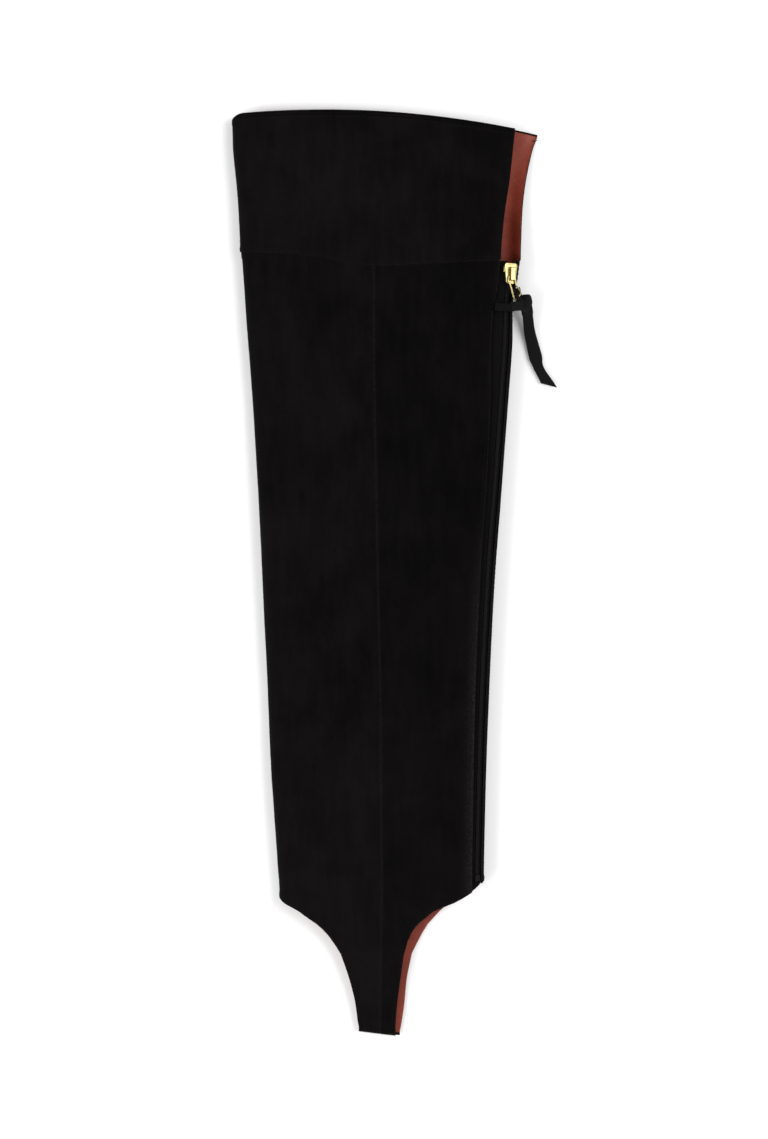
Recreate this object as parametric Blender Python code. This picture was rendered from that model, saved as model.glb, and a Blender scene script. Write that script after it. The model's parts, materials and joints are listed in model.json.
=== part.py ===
"""Over-the-knee gaiter laid flat: a suede tube with a band, a back zip and a strap for the foot.

Metres, +Z up. The garment lies on z = 0 with the near side up. +Y runs from the foot to the thigh
and +X from the front of the leg to its back. The tables and sizes below are in millimetres.
"""
import math
from collections import namedtuple

import bpy
import bmesh
from mathutils import Matrix, Vector

MM = 0.001

# Wall of each layer, measured inwards from the outer surface
SUEDE = 1.3
BAND_SUEDE = 1.0
LINING = 1.0
GAP = 0.3
LAYER_GAP = 0.4
LINING_SLACK, SLACK_RUN = 1.3, 70.0

# Leg tube, one row for each cross-section: edges of the outline, depth of each fold, dip between
LegRow = namedtuple("LegRow", "y left right left_deep right_deep dip seam")
LEG = (
    LegRow(208.5, -93.0, 88.4, 15.6, 18.0, 4.2, -6.8),
    LegRow(190.0, -91.7, 86.0, 15.8, 18.0, 4.4, -6.8),
    LegRow(177.0, -90.7, 83.4, 16.0, 18.0, 4.6, -6.8),
    LegRow(151.0, -88.8, 83.3, 16.2, 18.0, 4.8, -6.8),
    LegRow(125.0, -86.8, 81.6, 16.4, 18.0, 5.0, -6.6),
    LegRow(73.0, -83.5, 77.7, 16.6, 18.0, 5.2, -5.6),
    LegRow(21.0, -80.9, 73.8, 16.6, 18.0, 5.2, -4.6),
    LegRow(-31.0, -78.3, 70.5, 16.4, 17.8, 5.0, -3.7),
    LegRow(-83.0, -75.7, 67.9, 16.2, 17.6, 4.8, -2.6),
    LegRow(-135.0, -73.5, 66.0, 16.0, 17.4, 4.6, -2.2),
    LegRow(-187.0, -69.9, 64.7, 15.8, 17.0, 4.4, -1.8),
    LegRow(-212.0, -67.9, 64.4, 15.6, 16.8, 4.3, -1.7),
    LegRow(-248.0, -67.9, 64.4, 15.2, 15.8, 4.3, -2.2),
    LegRow(-265.0, -67.9, 64.4, 13.6, 13.8, 4.3, -2.6),
    LegRow(-280.0, -67.9, 64.4, 11.9, 12.0, 4.3, -2.9),
    LegRow(-297.0, -67.9, 64.4, 10.5, 10.5, 4.3, -2.9),
)

# Band, open at the back: the far flap curls up by its angle as it nears the zip
BandRow = namedtuple("BandRow", "y left near_edge far_edge left_deep edge_high dip curl curl_radius")
BAND = (
    BandRow(302.0, -99.4, 86.4, 100.4, 14.0, 10.0, 2.0, 10.0, 12.0),
    BandRow(285.0, -98.8, 84.6, 99.8, 14.6, 11.0, 2.2, 20.0, 12.0),
    BandRow(275.0, -98.4, 83.5, 96.6, 15.0, 11.8, 2.4, 36.0, 11.5),
    BandRow(255.0, -96.5, 81.3, 92.2, 15.8, 13.6, 2.8, 58.0, 10.5),
    BandRow(235.0, -95.0, 78.2, 89.8, 16.4, 15.6, 3.2, 76.0, 9.8),
    BandRow(215.0, -94.0, 76.1, 88.8, 16.8, 17.6, 3.7, 96.0, 9.4),
    BandRow(199.0, -93.8, 75.1, 88.6, 17.0, 19.2, 4.2, 114.0, 9.2),
)

# Top edge of the band is an arc; its lower edge dips towards the side seam
TOP_PEAK_X, TOP_PEAK_Y, TOP_RADIUS = -36.0, 300.8, 595.0
TOP_FOLD_DROP = 2.6
BINDING_DEPTH = 4.6
BINDING_PROUD = 0.4
EdgePoint = namedtuple("EdgePoint", "x y")
BAND_LOW_NEAR = (EdgePoint(-94.0, 208.3), EdgePoint(-46.5, 206.4), EdgePoint(-29.6, 202.2),
                 EdgePoint(-4.2, 199.4), EdgePoint(34.1, 201.2), EdgePoint(75.0, 202.6))
BAND_LOW_FAR = (EdgePoint(-94.0, 208.3), EdgePoint(0.0, 203.5), EdgePoint(88.6, 202.6))

# Hem from the folds down to the root of the foot strap
HEM_NEAR = (EdgePoint(-67.9, -211.6), EdgePoint(-65.5, -214.2), EdgePoint(-56.2, -219.4),
            EdgePoint(-49.1, -224.6), EdgePoint(-41.9, -229.8), EdgePoint(-34.8, -237.6),
            EdgePoint(-28.3, -248.0))
HEM_FAR = (EdgePoint(-67.9, -211.6), EdgePoint(-64.5, -214.2), EdgePoint(-52.5, -219.4),
           EdgePoint(-44.6, -224.6), EdgePoint(-37.0, -229.8), EdgePoint(-29.9, -237.6),
           EdgePoint(-23.3, -248.0))
HEM_BACK_NEAR = (EdgePoint(12.7, -248.0), EdgePoint(15.9, -237.6), EdgePoint(20.5, -229.8),
                 EdgePoint(26.3, -224.6), EdgePoint(31.5, -220.4), EdgePoint(38.7, -217.0),
                 EdgePoint(46.5, -213.6), EdgePoint(57.2, -207.0), EdgePoint(64.4, -200.5))
HEM_BACK_FAR = (EdgePoint(17.9, -248.0), EdgePoint(23.1, -237.6), EdgePoint(27.6, -229.8),
                EdgePoint(32.2, -224.6), EdgePoint(37.0, -219.4), EdgePoint(40.5, -217.0),
                EdgePoint(46.5, -213.6), EdgePoint(57.2, -207.0), EdgePoint(64.4, -200.5))

# Foot strap, one row for each cross-section of its near and far halves
StrapRow = namedtuple("StrapRow", "y near_left near_right far_left far_right")
STRAP = (
    StrapRow(-248.0, -28.3, 12.7, -23.3, 17.9),
    StrapRow(-263.6, -23.1, 10.4, -18.8, 14.6),
    StrapRow(-279.2, -19.2, 8.3, -15.6, 12.9),
    StrapRow(-292.2, -17.4, 7.2, -15.0, 10.8),
    StrapRow(-300.0, -15.8, 7.6, -14.6, 9.0),
)
STRAP_ROOT_Y = -248.0
STRAP_ROLL_Y = -295.6
NEAR_ROLL, FAR_ROLL = 3.0, 2.9
STRAP_TILT = 0.12

# Zip, unrolled over the top of the back fold: near panel's edge, chain, far panel's edge
ZipRow = namedtuple("ZipRow", "y near_edge chain far_edge")
ZIP = (
    ZipRow(208.5, 75.1, 82.4, 88.6),
    ZipRow(186.0, 73.5, 81.6, 87.4),
    ZipRow(176.0, 71.3, 80.6, 84.6),
    ZipRow(151.0, 69.0, 79.2, 82.6),
    ZipRow(112.0, 68.6, 76.6, 79.9),
    ZipRow(60.0, 66.3, 73.1, 76.4),
    ZipRow(8.0, 62.7, 68.8, 72.1),
    ZipRow(-83.0, 58.8, 64.0, 67.2),
    ZipRow(-187.0, 56.9, 61.3, 64.5),
    ZipRow(-212.0, 56.9, 61.3, 64.5),
)
ZIP_TOP_Y, ZIP_END_Y = 202.0, -200.0
STOP_LENGTH, STOP_HIGH, STOP_LOW = 4.0, 0.5, 3.0
TAPE_END_Y = -198.5
TAPE_THICK = 1.0
TAPE_UNDER = 5.0
CHAIN_HALF, CHAIN_HIGH, CHAIN_LOW = 1.8, 1.1, 2.7

ROW_SPREAD = 1.5

# Soft creases of the near side: ends of each one, half its width and its depth
Crease = namedtuple("Crease", "x0 y0 x1 y1 half_width depth")
CREASES = (
    Crease(8.8, 83.0, 45.8, 44.0, 9.0, 1.3),
    Crease(10.0, 16.0, 45.8, -14.5, 9.0, 1.1),
    Crease(34.0, -20.0, 34.0, -50.0, 8.0, 1.0),
    Crease(25.0, -58.0, 25.0, -104.0, 11.0, 0.9),
    Crease(-56.0, 90.0, -56.0, 45.0, 18.0, -0.7),
)

# Slider, in its own axes: across the zip, along it, and out of the surface
SLIDER_Y = 193.7
PLATE_HALF_TOP, PLATE_HALF_FOOT, PLATE_HALF_LONG = 4.8, 3.3, 6.8
PLATE_LOW, PLATE_HIGH = -0.6, 0.6
BACK_HALF, BACK_LOW, BACK_HIGH = 1.9, -4.8, -3.8
FLANGE_THICK, FLANGE_LOW = 1.1, -1.6
POST_HALF, POST_FOOT, POST_HEAD = 1.3, 2.2, 5.6
BRIDGE_HALF, BRIDGE_FOOT, BRIDGE_HEAD = 1.3, -4.8, 4.2
BRIDGE_HIGH, BRIDGE_WALL, BRIDGE_ROOF = 3.3, 1.3, 1.0
EYE_Y, EYE_Z = -2.3, 1.5

# Pull ring: corners in the slider's axes, from the eye down to the bar that holds the thong
WIRE_RADIUS = 0.55
RING = ((-2.3, -2.7, 1.5), (-1.4, -2.3, 1.5), (0.0, -2.3, 1.5), (1.4, -2.3, 1.5), (2.3, -2.7, 1.5),
        (3.6, -7.6, 1.6), (7.4, -12.0, 0.3), (5.9, -15.2, -0.2), (3.2, -16.8, 0.2),
        (-0.4, -9.0, 1.6), (-2.3, -5.0, 1.6))

# Leather thong: flat tail from the knot to its cut tip, and the short end across the zip
THONG_WIDTH, THONG_THICK, TIP_WIDTH = 7.0, 1.8, 9.0
TAIL_ROUTE = ((92.9, 169.2, 8.2), (93.6, 163.0, 6.0), (94.5, 156.5, 3.6), (96.2, 149.5, 2.0),
              (98.2, 141.5, 1.5), (100.6, 133.0, 1.6), (106.3, 123.2, 2.2))
END_WIDTH = 5.0
END_THICK = 1.6
END_ROUTE = ((82.6, 171.7, 17.6), (79.5, 171.7, 18.6), (75.6, 171.8, 19.3), (71.4, 172.1, 19.5))
KNOT_CENTRE, KNOT_HALF = (91.8, 175.3, 10.7), (4.3, 5.8, 4.0)

Material = namedtuple("Material", "name colour rough metal")
SUEDE_BLACK = Material("suede_black", (0.0065, 0.0060, 0.0065), 0.95, 0.0)
LINING_BROWN = Material("lining_red_brown", (0.19, 0.040, 0.022), 0.50, 0.0)
TAPE_BLACK = Material("zip_tape_black", (0.008, 0.008, 0.009), 0.90, 0.0)
CHAIN_BLACK = Material("zip_chain_black", (0.010, 0.010, 0.011), 0.45, 0.0)
GOLD = Material("pale_gold", (0.83, 0.66, 0.34), 0.25, 1.0)
THONG_BLACK = Material("thong_black", (0.011, 0.011, 0.012), 0.80, 0.0)


def clear_scene():
    for item in list(bpy.data.objects):
        bpy.data.objects.remove(item, do_unlink=True)


def make_material(look):
    material = bpy.data.materials.get(look.name) or bpy.data.materials.new(look.name)
    material.use_nodes = True
    shader = material.node_tree.nodes["Principled BSDF"]
    shader.inputs["Base Color"].default_value = (*look.colour, 1.0)
    shader.inputs["Roughness"].default_value = look.rough
    shader.inputs["Metallic"].default_value = look.metal
    return material


def mix(a, b, share):
    return a + (b - a) * share


def smooth_step(value):
    value = min(1.0, max(0.0, value))
    return value * value * (3.0 - 2.0 * value)


def read_curve(rows, key, value, field):
    """Smooth curve through the rows' field, over their key, held level past both ends."""
    rows = sorted(rows, key=lambda row: getattr(row, key))
    at = [getattr(row, key) for row in rows]
    level = [getattr(row, field) for row in rows]
    if value <= at[0]:
        return level[0]
    if value >= at[-1]:
        return level[-1]
    index = max(i for i in range(len(at) - 1) if at[i] <= value)

    def slope(i):
        before, after = max(0, i - 1), min(len(at) - 1, i + 1)
        return (level[after] - level[before]) / (at[after] - at[before])

    span = at[index + 1] - at[index]
    t = (value - at[index]) / span
    start, end = slope(index) * span, slope(index + 1) * span
    return ((2 * t**3 - 3 * t**2 + 1) * level[index] + (t**3 - 2 * t**2 + t) * start
            + (3 * t**2 - 2 * t**3) * level[index + 1] + (t**3 - t**2) * end)


def crease_drop(x, y):
    """How far the creases lower the near side at a point."""
    drop = 0.0
    for crease in CREASES:
        along = Vector((crease.x1 - crease.x0, crease.y1 - crease.y0))
        away = Vector((x - crease.x0, y - crease.y0))
        share = min(1.0, max(0.0, away.dot(along) / along.length_squared))
        distance = (away - along * share).length
        drop += crease.depth * math.exp(-(distance / crease.half_width) ** 2)
    return drop


class LegSection:
    """Outer outline of the leg tube at one height, and points at a depth inside it."""

    def __init__(self, y, creased=True):
        self.y = y
        self.creased = creased
        self.left = read_curve(LEG, "y", y, "left")
        self.right = read_curve(LEG, "y", y, "right")
        self.left_radius = read_curve(LEG, "y", y, "left_deep") / 2
        self.right_radius = read_curve(LEG, "y", y, "right_deep") / 2
        self.dip = read_curve(LEG, "y", y, "dip")
        self.left_flat = self.left + self.left_radius
        self.right_flat = self.right - self.right_radius

    def near_height(self, x):
        """Height of the near layer; only the suede creases, over a lining that hangs level."""
        share = (x - self.left_flat) / (self.right_flat - self.left_flat)
        middle = smooth_step(share / 0.3) * smooth_step((1 - share) / 0.3)
        slack = LINING_SLACK * middle * smooth_step((self.y - STRAP_ROLL_Y) / SLACK_RUN)
        drop = crease_drop(x, self.y) * middle if self.creased else slack
        return mix(2 * self.left_radius, 2 * self.right_radius, share) - self.dip * middle - drop

    def over(self, x, depth):
        """Point of the near layer; past a fold's start, x is measured along the bend."""
        if x > self.right_flat:
            angle = (x - self.right_flat) / self.right_radius
            reach = self.right_radius - depth
            return Vector((self.right_flat + reach * math.sin(angle), self.y,
                           self.right_radius + reach * math.cos(angle)))
        if x < self.left_flat:
            return self.left_bend((self.left_flat - x) / self.left_radius, depth)
        slope = (self.near_height(x + 0.5) - self.near_height(x - 0.5))
        normal = Vector((-slope, 0.0, 1.0)).normalized()
        return Vector((x, self.y, self.near_height(x))) - normal * depth

    def left_bend(self, angle, depth):
        reach = self.left_radius - depth
        return Vector((self.left_flat - reach * math.sin(angle), self.y,
                       self.left_radius + reach * math.cos(angle)))

    def under(self, x, depth):
        return Vector((x, self.y, depth))


class BandSection:
    """Outer outline of the band at one height, open at the back."""

    def __init__(self, y):
        self.y = y
        self.left = read_curve(BAND, "y", y, "left")
        self.near_edge = read_curve(BAND, "y", y, "near_edge")
        self.left_radius = read_curve(BAND, "y", y, "left_deep") / 2
        self.edge_high = read_curve(BAND, "y", y, "edge_high")
        self.dip = read_curve(BAND, "y", y, "dip")
        self.curl = math.radians(read_curve(BAND, "y", y, "curl"))
        self.curl_radius = read_curve(BAND, "y", y, "curl_radius")
        reach = self.curl_radius * math.sin(min(self.curl, math.pi / 2))
        self.left_flat = self.left + self.left_radius
        self.curl_start = read_curve(BAND, "y", y, "far_edge") - reach

    def near_height(self, x):
        share = (x - self.left_flat) / (self.near_edge - self.left_flat)
        dip = self.dip * smooth_step(share / 0.3) * smooth_step((1 - share) / 0.3)
        return mix(2 * self.left_radius, self.edge_high, share) - dip

    def over(self, x, depth):
        slope = (self.near_height(x + 0.5) - self.near_height(x - 0.5))
        normal = Vector((-slope, 0.0, 1.0)).normalized()
        return Vector((x, self.y, self.near_height(x))) - normal * depth

    def left_bend(self, angle, depth):
        reach = self.left_radius - depth
        return Vector((self.left_flat - reach * math.sin(angle), self.y,
                       self.left_radius + reach * math.cos(angle)))

    def under(self, x, depth):
        return Vector((x, self.y, depth))

    def flap(self, share, inset, depth):
        """Point of the far flap's curl, from its start to inset short of its edge."""
        angle = (self.curl - inset / self.curl_radius) * share
        reach = self.curl_radius - depth
        return Vector((self.curl_start + reach * math.sin(angle), self.y,
                       self.curl_radius - reach * math.cos(angle)))


class Wall:
    """Closed wall built from quads of paired points, an outer and an inner one."""

    def __init__(self):
        self.outer = []
        self.inner = []
        self.quads = []

    def point(self, outer, inner):
        self.outer.append(outer)
        self.inner.append(inner)
        return len(self.outer) - 1

    def strip(self, first, second):
        for i in range(len(first) - 1):
            self.quads.append((first[i], second[i], second[i + 1], first[i + 1]))

    def grid(self, rows):
        for first, second in zip(rows, rows[1:]):
            self.strip(first, second)

    def build(self, name, look):
        mesh = bmesh.new()
        outer = [mesh.verts.new(point * MM) for point in self.outer]
        inner = [mesh.verts.new(point * MM) for point in self.inner]
        sides = {}
        for quad in self.quads:
            mesh.faces.new([outer[i] for i in quad])
            mesh.faces.new([inner[i] for i in reversed(quad)])
            for i in range(4):
                side = (quad[i], quad[(i + 1) % 4])
                sides[side] = sides.get(side, 0) + 1
        for a, b in sides:
            if (b, a) not in sides:
                mesh.faces.new((outer[b], outer[a], inner[a], inner[b]))
        bmesh.ops.recalc_face_normals(mesh, faces=mesh.faces)
        return finish_mesh(mesh, name, look)


def finish_mesh(mesh, name, look, sharp_degrees=40.0):
    data = bpy.data.meshes.new(name)
    mesh.to_mesh(data)
    mesh.free()
    data.shade_smooth()
    data.set_sharp_from_angle(angle=math.radians(sharp_degrees))
    data.materials.append(make_material(look))
    item = bpy.data.objects.new(name, data)
    bpy.context.scene.collection.objects.link(item)
    return item


def shares(count):
    return [i / count for i in range(count + 1)]


def row_share(row, rows):
    """Rows lie closer together near the top, where the zip opens out."""
    return (row / rows) ** ROW_SPREAD


def settle(place, edge, start_y):
    """Height at which a column meets an edge given over x."""
    y = start_y
    for _ in range(4):
        y = edge(place(y, 0.0).x)
    return y


Column = namedtuple("Column", "place hem top in_strap side")


def seam_x(y):
    return read_curve(LEG, "y", y, "seam")


def far_seam_x(y):
    """The far seam drifts back towards the foot, so the far strap shows past the near one."""
    return seam_x(y) + 4.5 * smooth_step((-150.0 - y) / 90.0)


def left_flat_x(y):
    return LegSection(y).left_flat


def right_flat_x(y):
    return LegSection(y).right_flat


def zip_x(field):
    def read(y):
        return read_curve(ZIP, "y", y, field)
    return read


def moved(line, distance):
    def read(y):
        return line(y) + distance
    return read


def edge_curve(points, distance=0.0):
    def read(x):
        return read_curve(points, "x", x, "y") + distance
    return read


def leg_stretch(side, start, end, strap_field, hem, counts, creased=True):
    """Columns from a fold or the zip to a side seam; the last ones run on down the strap."""
    hem_line = edge_curve(hem)
    top_line = edge_curve(BAND_LOW_NEAR if side == "near" else BAND_LOW_FAR, -GAP)
    root_edge = read_curve(STRAP, "y", STRAP_ROOT_Y, strap_field)
    root = (root_edge - start(STRAP_ROOT_Y)) / (end(STRAP_ROOT_Y) - start(STRAP_ROOT_Y))
    outside, inside = counts
    across = [root * i / outside for i in range(outside)]
    across += [mix(root, 1.0, i / inside) for i in range(inside + 1)]
    columns = []
    for share in across:
        in_strap = share > root - 1e-6

        def place(y, depth, share=share, in_strap=in_strap):
            section = LegSection(y, creased)
            if in_strap and y < STRAP_ROOT_Y:
                edge = read_curve(STRAP, "y", y, strap_field)
                x = mix(edge, end(y), (share - root) / (1 - root))
            else:
                x = mix(start(y), end(y), share)
            if side == "near":
                return section.over(x, depth)
            return section.under(x, depth)

        columns.append(Column(place, hem_line, top_line, in_strap, side))
    return columns


def front_bend(count):
    """Columns round the front fold, from the near layer down to the far one."""
    def bend(turn):
        def place(y, depth):
            return LegSection(y).left_bend(turn * math.pi, depth)
        return place
    return [Column(bend(i / count), edge_curve(HEM_NEAR), edge_curve(BAND_LOW_NEAR, -GAP), False, "near")
            for i in range(1, count)]


def back_bend(edge, count):
    """Columns round the back fold, from an edge beside the zip down to the far layer."""
    def bend(share):
        def place(y, depth):
            section = LegSection(y)
            flat = section.right_flat + math.pi * section.right_radius
            return section.over(mix(edge(y), flat, share), depth)
        return place
    return [Column(bend(i / count), edge_curve(HEM_BACK_FAR), edge_curve(BAND_LOW_FAR, -GAP), False, "far")
            for i in range(count)]


def near_front(gap, counts, creased=True):
    end = moved(seam_x, -gap)
    return leg_stretch("near", left_flat_x, end, "near_left", HEM_NEAR, counts, creased)


def far_front(gap, counts):
    return leg_stretch("far", left_flat_x, moved(far_seam_x, -gap), "far_left", HEM_FAR, counts)


def near_back(start, gap, counts, creased=True):
    end = moved(seam_x, gap)
    return leg_stretch("near", start, end, "near_right", HEM_BACK_NEAR, counts, creased)


def far_back(gap, counts):
    return leg_stretch("far", right_flat_x, moved(far_seam_x, gap), "far_right", HEM_BACK_FAR, counts)


def strap_tilt(point):
    """The foot of the strap hangs a little lower towards the back."""
    low = smooth_step((STRAP_ROOT_Y - point.y) / 50.0)
    return Vector((point.x, point.y - STRAP_TILT * (point.x + 15.0) * low, point.z))


def rolled(column, turn, depth):
    """Point where a strap end rolls round under the foot towards its seam."""
    base = column.place(STRAP_ROLL_Y, 0.0)
    if column.side == "near":
        reach = NEAR_ROLL - depth
        height = base.z - NEAR_ROLL + reach * math.cos(turn)
    else:
        reach = FAR_ROLL - depth
        height = FAR_ROLL - reach * math.cos(turn)
    return strap_tilt(Vector((base.x, base.y - reach * math.sin(turn), height)))


def leg_wall(name, look, columns, depths, rows):
    """Wall of the leg tube over a run of columns, with the strap halves that hang from it."""
    wall = Wall()
    outer, inner = depths
    grid = []
    for row in range(rows + 1):
        line = []
        for column in columns:
            top = settle(column.place, column.top, 200.0)
            low = STRAP_ROOT_Y if column.in_strap else settle(column.place, column.hem, -215.0)
            y = mix(top, low, row_share(row, rows))
            line.append(wall.point(column.place(y, outer), column.place(y, inner)))
        grid.append(line)
    wall.grid(grid)
    for run in strap_runs(columns):
        strap = [[grid[-1][i] for i in run]]
        for y in (-256.0, -264.0, -272.0, -280.0, -287.0, -293.0, STRAP_ROLL_Y):
            strap.append([wall.point(strap_tilt(columns[i].place(y, outer)),
                                     strap_tilt(columns[i].place(y, inner))) for i in run])
        for degrees in (30, 60, 90):
            turn = math.radians(degrees)
            strap.append([wall.point(rolled(columns[i], turn, outer),
                                     rolled(columns[i], turn, inner)) for i in run])
        wall.grid(strap)
    return wall.build(name, look)


def strap_runs(columns):
    """Runs of neighbouring columns that belong to a strap half."""
    runs = []
    for i, column in enumerate(columns):
        if not column.in_strap:
            continue
        if runs and runs[-1][-1] == i - 1:
            runs[-1].append(i)
        else:
            runs.append([i])
    return runs


def make_leg():
    half = GAP / 2
    suede = (0.0, SUEDE)
    rows = 22
    front = list(reversed(near_front(half, (7, 3)))) + front_bend(6) + far_front(half, (3, 3))
    leg_wall("front_panel", SUEDE_BLACK, front, suede, rows)
    leg_wall("back_panel_near", SUEDE_BLACK, near_back(zip_x("near_edge"), half, (6, 3)), suede, rows)
    back = back_bend(zip_x("far_edge"), 6) + far_back(half, (4, 3))
    leg_wall("back_panel_far", SUEDE_BLACK, back, suede, rows)


def make_leg_lining():
    """One lining wall all round, from the near zip tape to the far one."""
    near_edge = moved(zip_x("near_edge"), -TAPE_UNDER - GAP)
    far_edge = moved(zip_x("far_edge"), TAPE_UNDER + GAP)
    columns = near_back(near_edge, 0.0, (5, 2), creased=False)
    columns += list(reversed(near_front(0.0, (6, 2), creased=False)))[1:]
    columns += front_bend(6)
    columns += far_front(0.0, (2, 2))
    columns += list(reversed(far_back(0.0, (3, 2))))[1:]
    columns += list(reversed(back_bend(far_edge, 6)))
    depth = SUEDE + LAYER_GAP
    leg_wall("leg_lining", LINING_BROWN, columns, (depth, depth + LINING), 17)


def top_line(x, bend_share=0.0):
    """Top edge of the band, an arc, that drops where it bends round the front fold."""
    rise = math.sqrt(TOP_RADIUS**2 - (x - TOP_PEAK_X) ** 2) - TOP_RADIUS
    return TOP_PEAK_Y + rise - TOP_FOLD_DROP * math.sin(bend_share * math.pi) ** 2


BandColumn = namedtuple("BandColumn", "place low bend_share proud")


def band_columns(inset, counts):
    """Columns round the band, from the near vent edge to the far one, each inset short of it."""
    near_count, bend_count, far_count, flap_count = counts

    def near(share):
        def place(y, depth):
            section = BandSection(y)
            return section.over(mix(section.near_edge - inset, section.left_flat, share), depth)
        return place

    def bend(turn):
        def place(y, depth):
            return BandSection(y).left_bend(turn * math.pi, depth)
        return place

    def under(share):
        def place(y, depth):
            section = BandSection(y)
            return section.under(mix(section.left_flat, section.curl_start, share), depth)
        return place

    def flap(share):
        def place(y, depth):
            return BandSection(y).flap(share, inset, depth)
        return place

    low_near, low_far = edge_curve(BAND_LOW_NEAR), edge_curve(BAND_LOW_FAR)
    columns = [BandColumn(near(i / near_count), low_near, 0.0, 1.0) for i in range(near_count)]
    for i in range(bend_count):
        turn = i / bend_count
        columns.append(BandColumn(bend(turn), low_near, turn, (1 + math.cos(turn * math.pi)) / 2))
    columns += [BandColumn(under(i / far_count), low_far, 0.0, 0.0) for i in range(far_count)]
    columns += [BandColumn(flap(i / flap_count), low_far, 0.0, 0.0) for i in range(flap_count + 1)]
    return columns


def band_wall(name, look, columns, depths, bottom_up, top_down, rows, proud=0.0):
    """Wall of the band between two distances, from its lower edge and from its top edge."""
    wall = Wall()
    outer, inner = depths
    grid = []
    for row in range(rows + 1):
        line = []
        for column in columns:
            high = settle(column.place, lambda x: top_line(x, column.bend_share), 296.0) - top_down
            if bottom_up is None:
                low = high - BINDING_DEPTH
            else:
                low = settle(column.place, column.low, 204.0) + bottom_up
            y = mix(high, low, row / rows)
            line.append(wall.point(column.place(y, outer - proud * column.proud), column.place(y, inner)))
        grid.append(line)
    wall.grid(grid)
    return wall.build(name, look)


def make_band():
    counts = (12, 6, 6, 6)
    inner = BAND_SUEDE + LAYER_GAP
    below_binding = BINDING_DEPTH + GAP
    band_wall("band", SUEDE_BLACK, band_columns(0.0, counts), (0.0, BAND_SUEDE), 0.0, below_binding, 8)
    band_wall("band_lining", LINING_BROWN, band_columns(1.0, counts), (inner, inner + LINING),
              0.0, below_binding, 6)
    band_wall("top_binding", SUEDE_BLACK, band_columns(0.0, counts), (0.0, inner + LINING),
              None, 0.0, 1, BINDING_PROUD)


def zip_strip(name, look, left, right, depths, ends, rows, across=2):
    """Strip that follows the zip over the back fold, between two unrolled edges."""
    wall = Wall()
    outer, inner = depths
    grid = []
    for row in range(rows + 1):
        y = mix(ends[0], ends[1], row_share(row, rows))
        section = LegSection(y)
        line = []
        for i in range(across + 1):
            x = mix(left(y), right(y), i / across)
            line.append(wall.point(section.over(x, outer), section.over(x, inner)))
        grid.append(line)
    wall.grid(grid)
    return wall.build(name, look)


def make_zip():
    chain = zip_x("chain")
    tape = (SUEDE + LAYER_GAP, SUEDE + LAYER_GAP + TAPE_THICK)
    inside = CHAIN_HALF + GAP
    ends = (ZIP_TOP_Y, TAPE_END_Y)
    zip_strip("zip_tape_near", TAPE_BLACK, moved(zip_x("near_edge"), -TAPE_UNDER), moved(chain, -inside),
              tape, ends, 18, 2)
    zip_strip("zip_tape_far", TAPE_BLACK, moved(chain, inside), moved(zip_x("far_edge"), TAPE_UNDER),
              tape, ends, 18, 3)
    chain_top = SLIDER_Y + POST_FOOT - GAP
    chain_foot = ZIP_END_Y + STOP_LENGTH + GAP
    zip_strip("zip_chain", CHAIN_BLACK, moved(chain, -CHAIN_HALF), moved(chain, CHAIN_HALF),
              (CHAIN_HIGH, CHAIN_LOW), (chain_top, chain_foot), 24)
    zip_strip("zip_stop", CHAIN_BLACK, moved(chain, -CHAIN_HALF), moved(chain, CHAIN_HALF),
              (STOP_HIGH, STOP_LOW), (ZIP_END_Y + STOP_LENGTH, ZIP_END_Y), 1)


def slider_frame():
    """Axes of the slider: across the zip, along it, and out of the back fold's surface."""
    def chain_point(y, depth):
        return LegSection(y).over(read_curve(ZIP, "y", y, "chain"), depth)

    centre = chain_point(SLIDER_Y, 0.0)
    out = (centre - chain_point(SLIDER_Y, 1.0)).normalized()
    along = chain_point(SLIDER_Y + POST_FOOT, 0.0) - chain_point(SLIDER_Y - PLATE_HALF_LONG, 0.0)
    across = along.cross(out).normalized()
    along = out.cross(across)
    axes = Matrix((across, along, out)).transposed().to_4x4()
    return Matrix.Translation(centre) @ axes


def slab(outline, low, high, name):
    """Closed plate over an outline in the slider's plane, between two heights."""
    mesh = bmesh.new()
    corners = [mesh.verts.new((x, y, low)) for x, y in outline]
    face = mesh.faces.new(corners)
    raised = bmesh.ops.extrude_face_region(mesh, geom=[face])["geom"]
    top = [item for item in raised if isinstance(item, bmesh.types.BMVert)]
    bmesh.ops.translate(mesh, verts=top, vec=(0.0, 0.0, high - low))
    bmesh.ops.recalc_face_normals(mesh, faces=mesh.faces)
    return finish_mesh(mesh, name, GOLD)


def join_solids(base, others):
    """Unites the other solids with the base and removes them."""
    for other in others:
        union = base.modifiers.new("join", "BOOLEAN")
        union.operation = "UNION"
        union.object = other
    graph = bpy.context.evaluated_depsgraph_get()
    data = bpy.data.meshes.new_from_object(base.evaluated_get(graph))
    base.modifiers.clear()
    base.data = data
    for other in others:
        bpy.data.objects.remove(other, do_unlink=True)


def box(x0, x1, y0, y1, z0, z1, name):
    return slab(((x0, y0), (x1, y0), (x1, y1), (x0, y1)), z0, z1, name)


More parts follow.
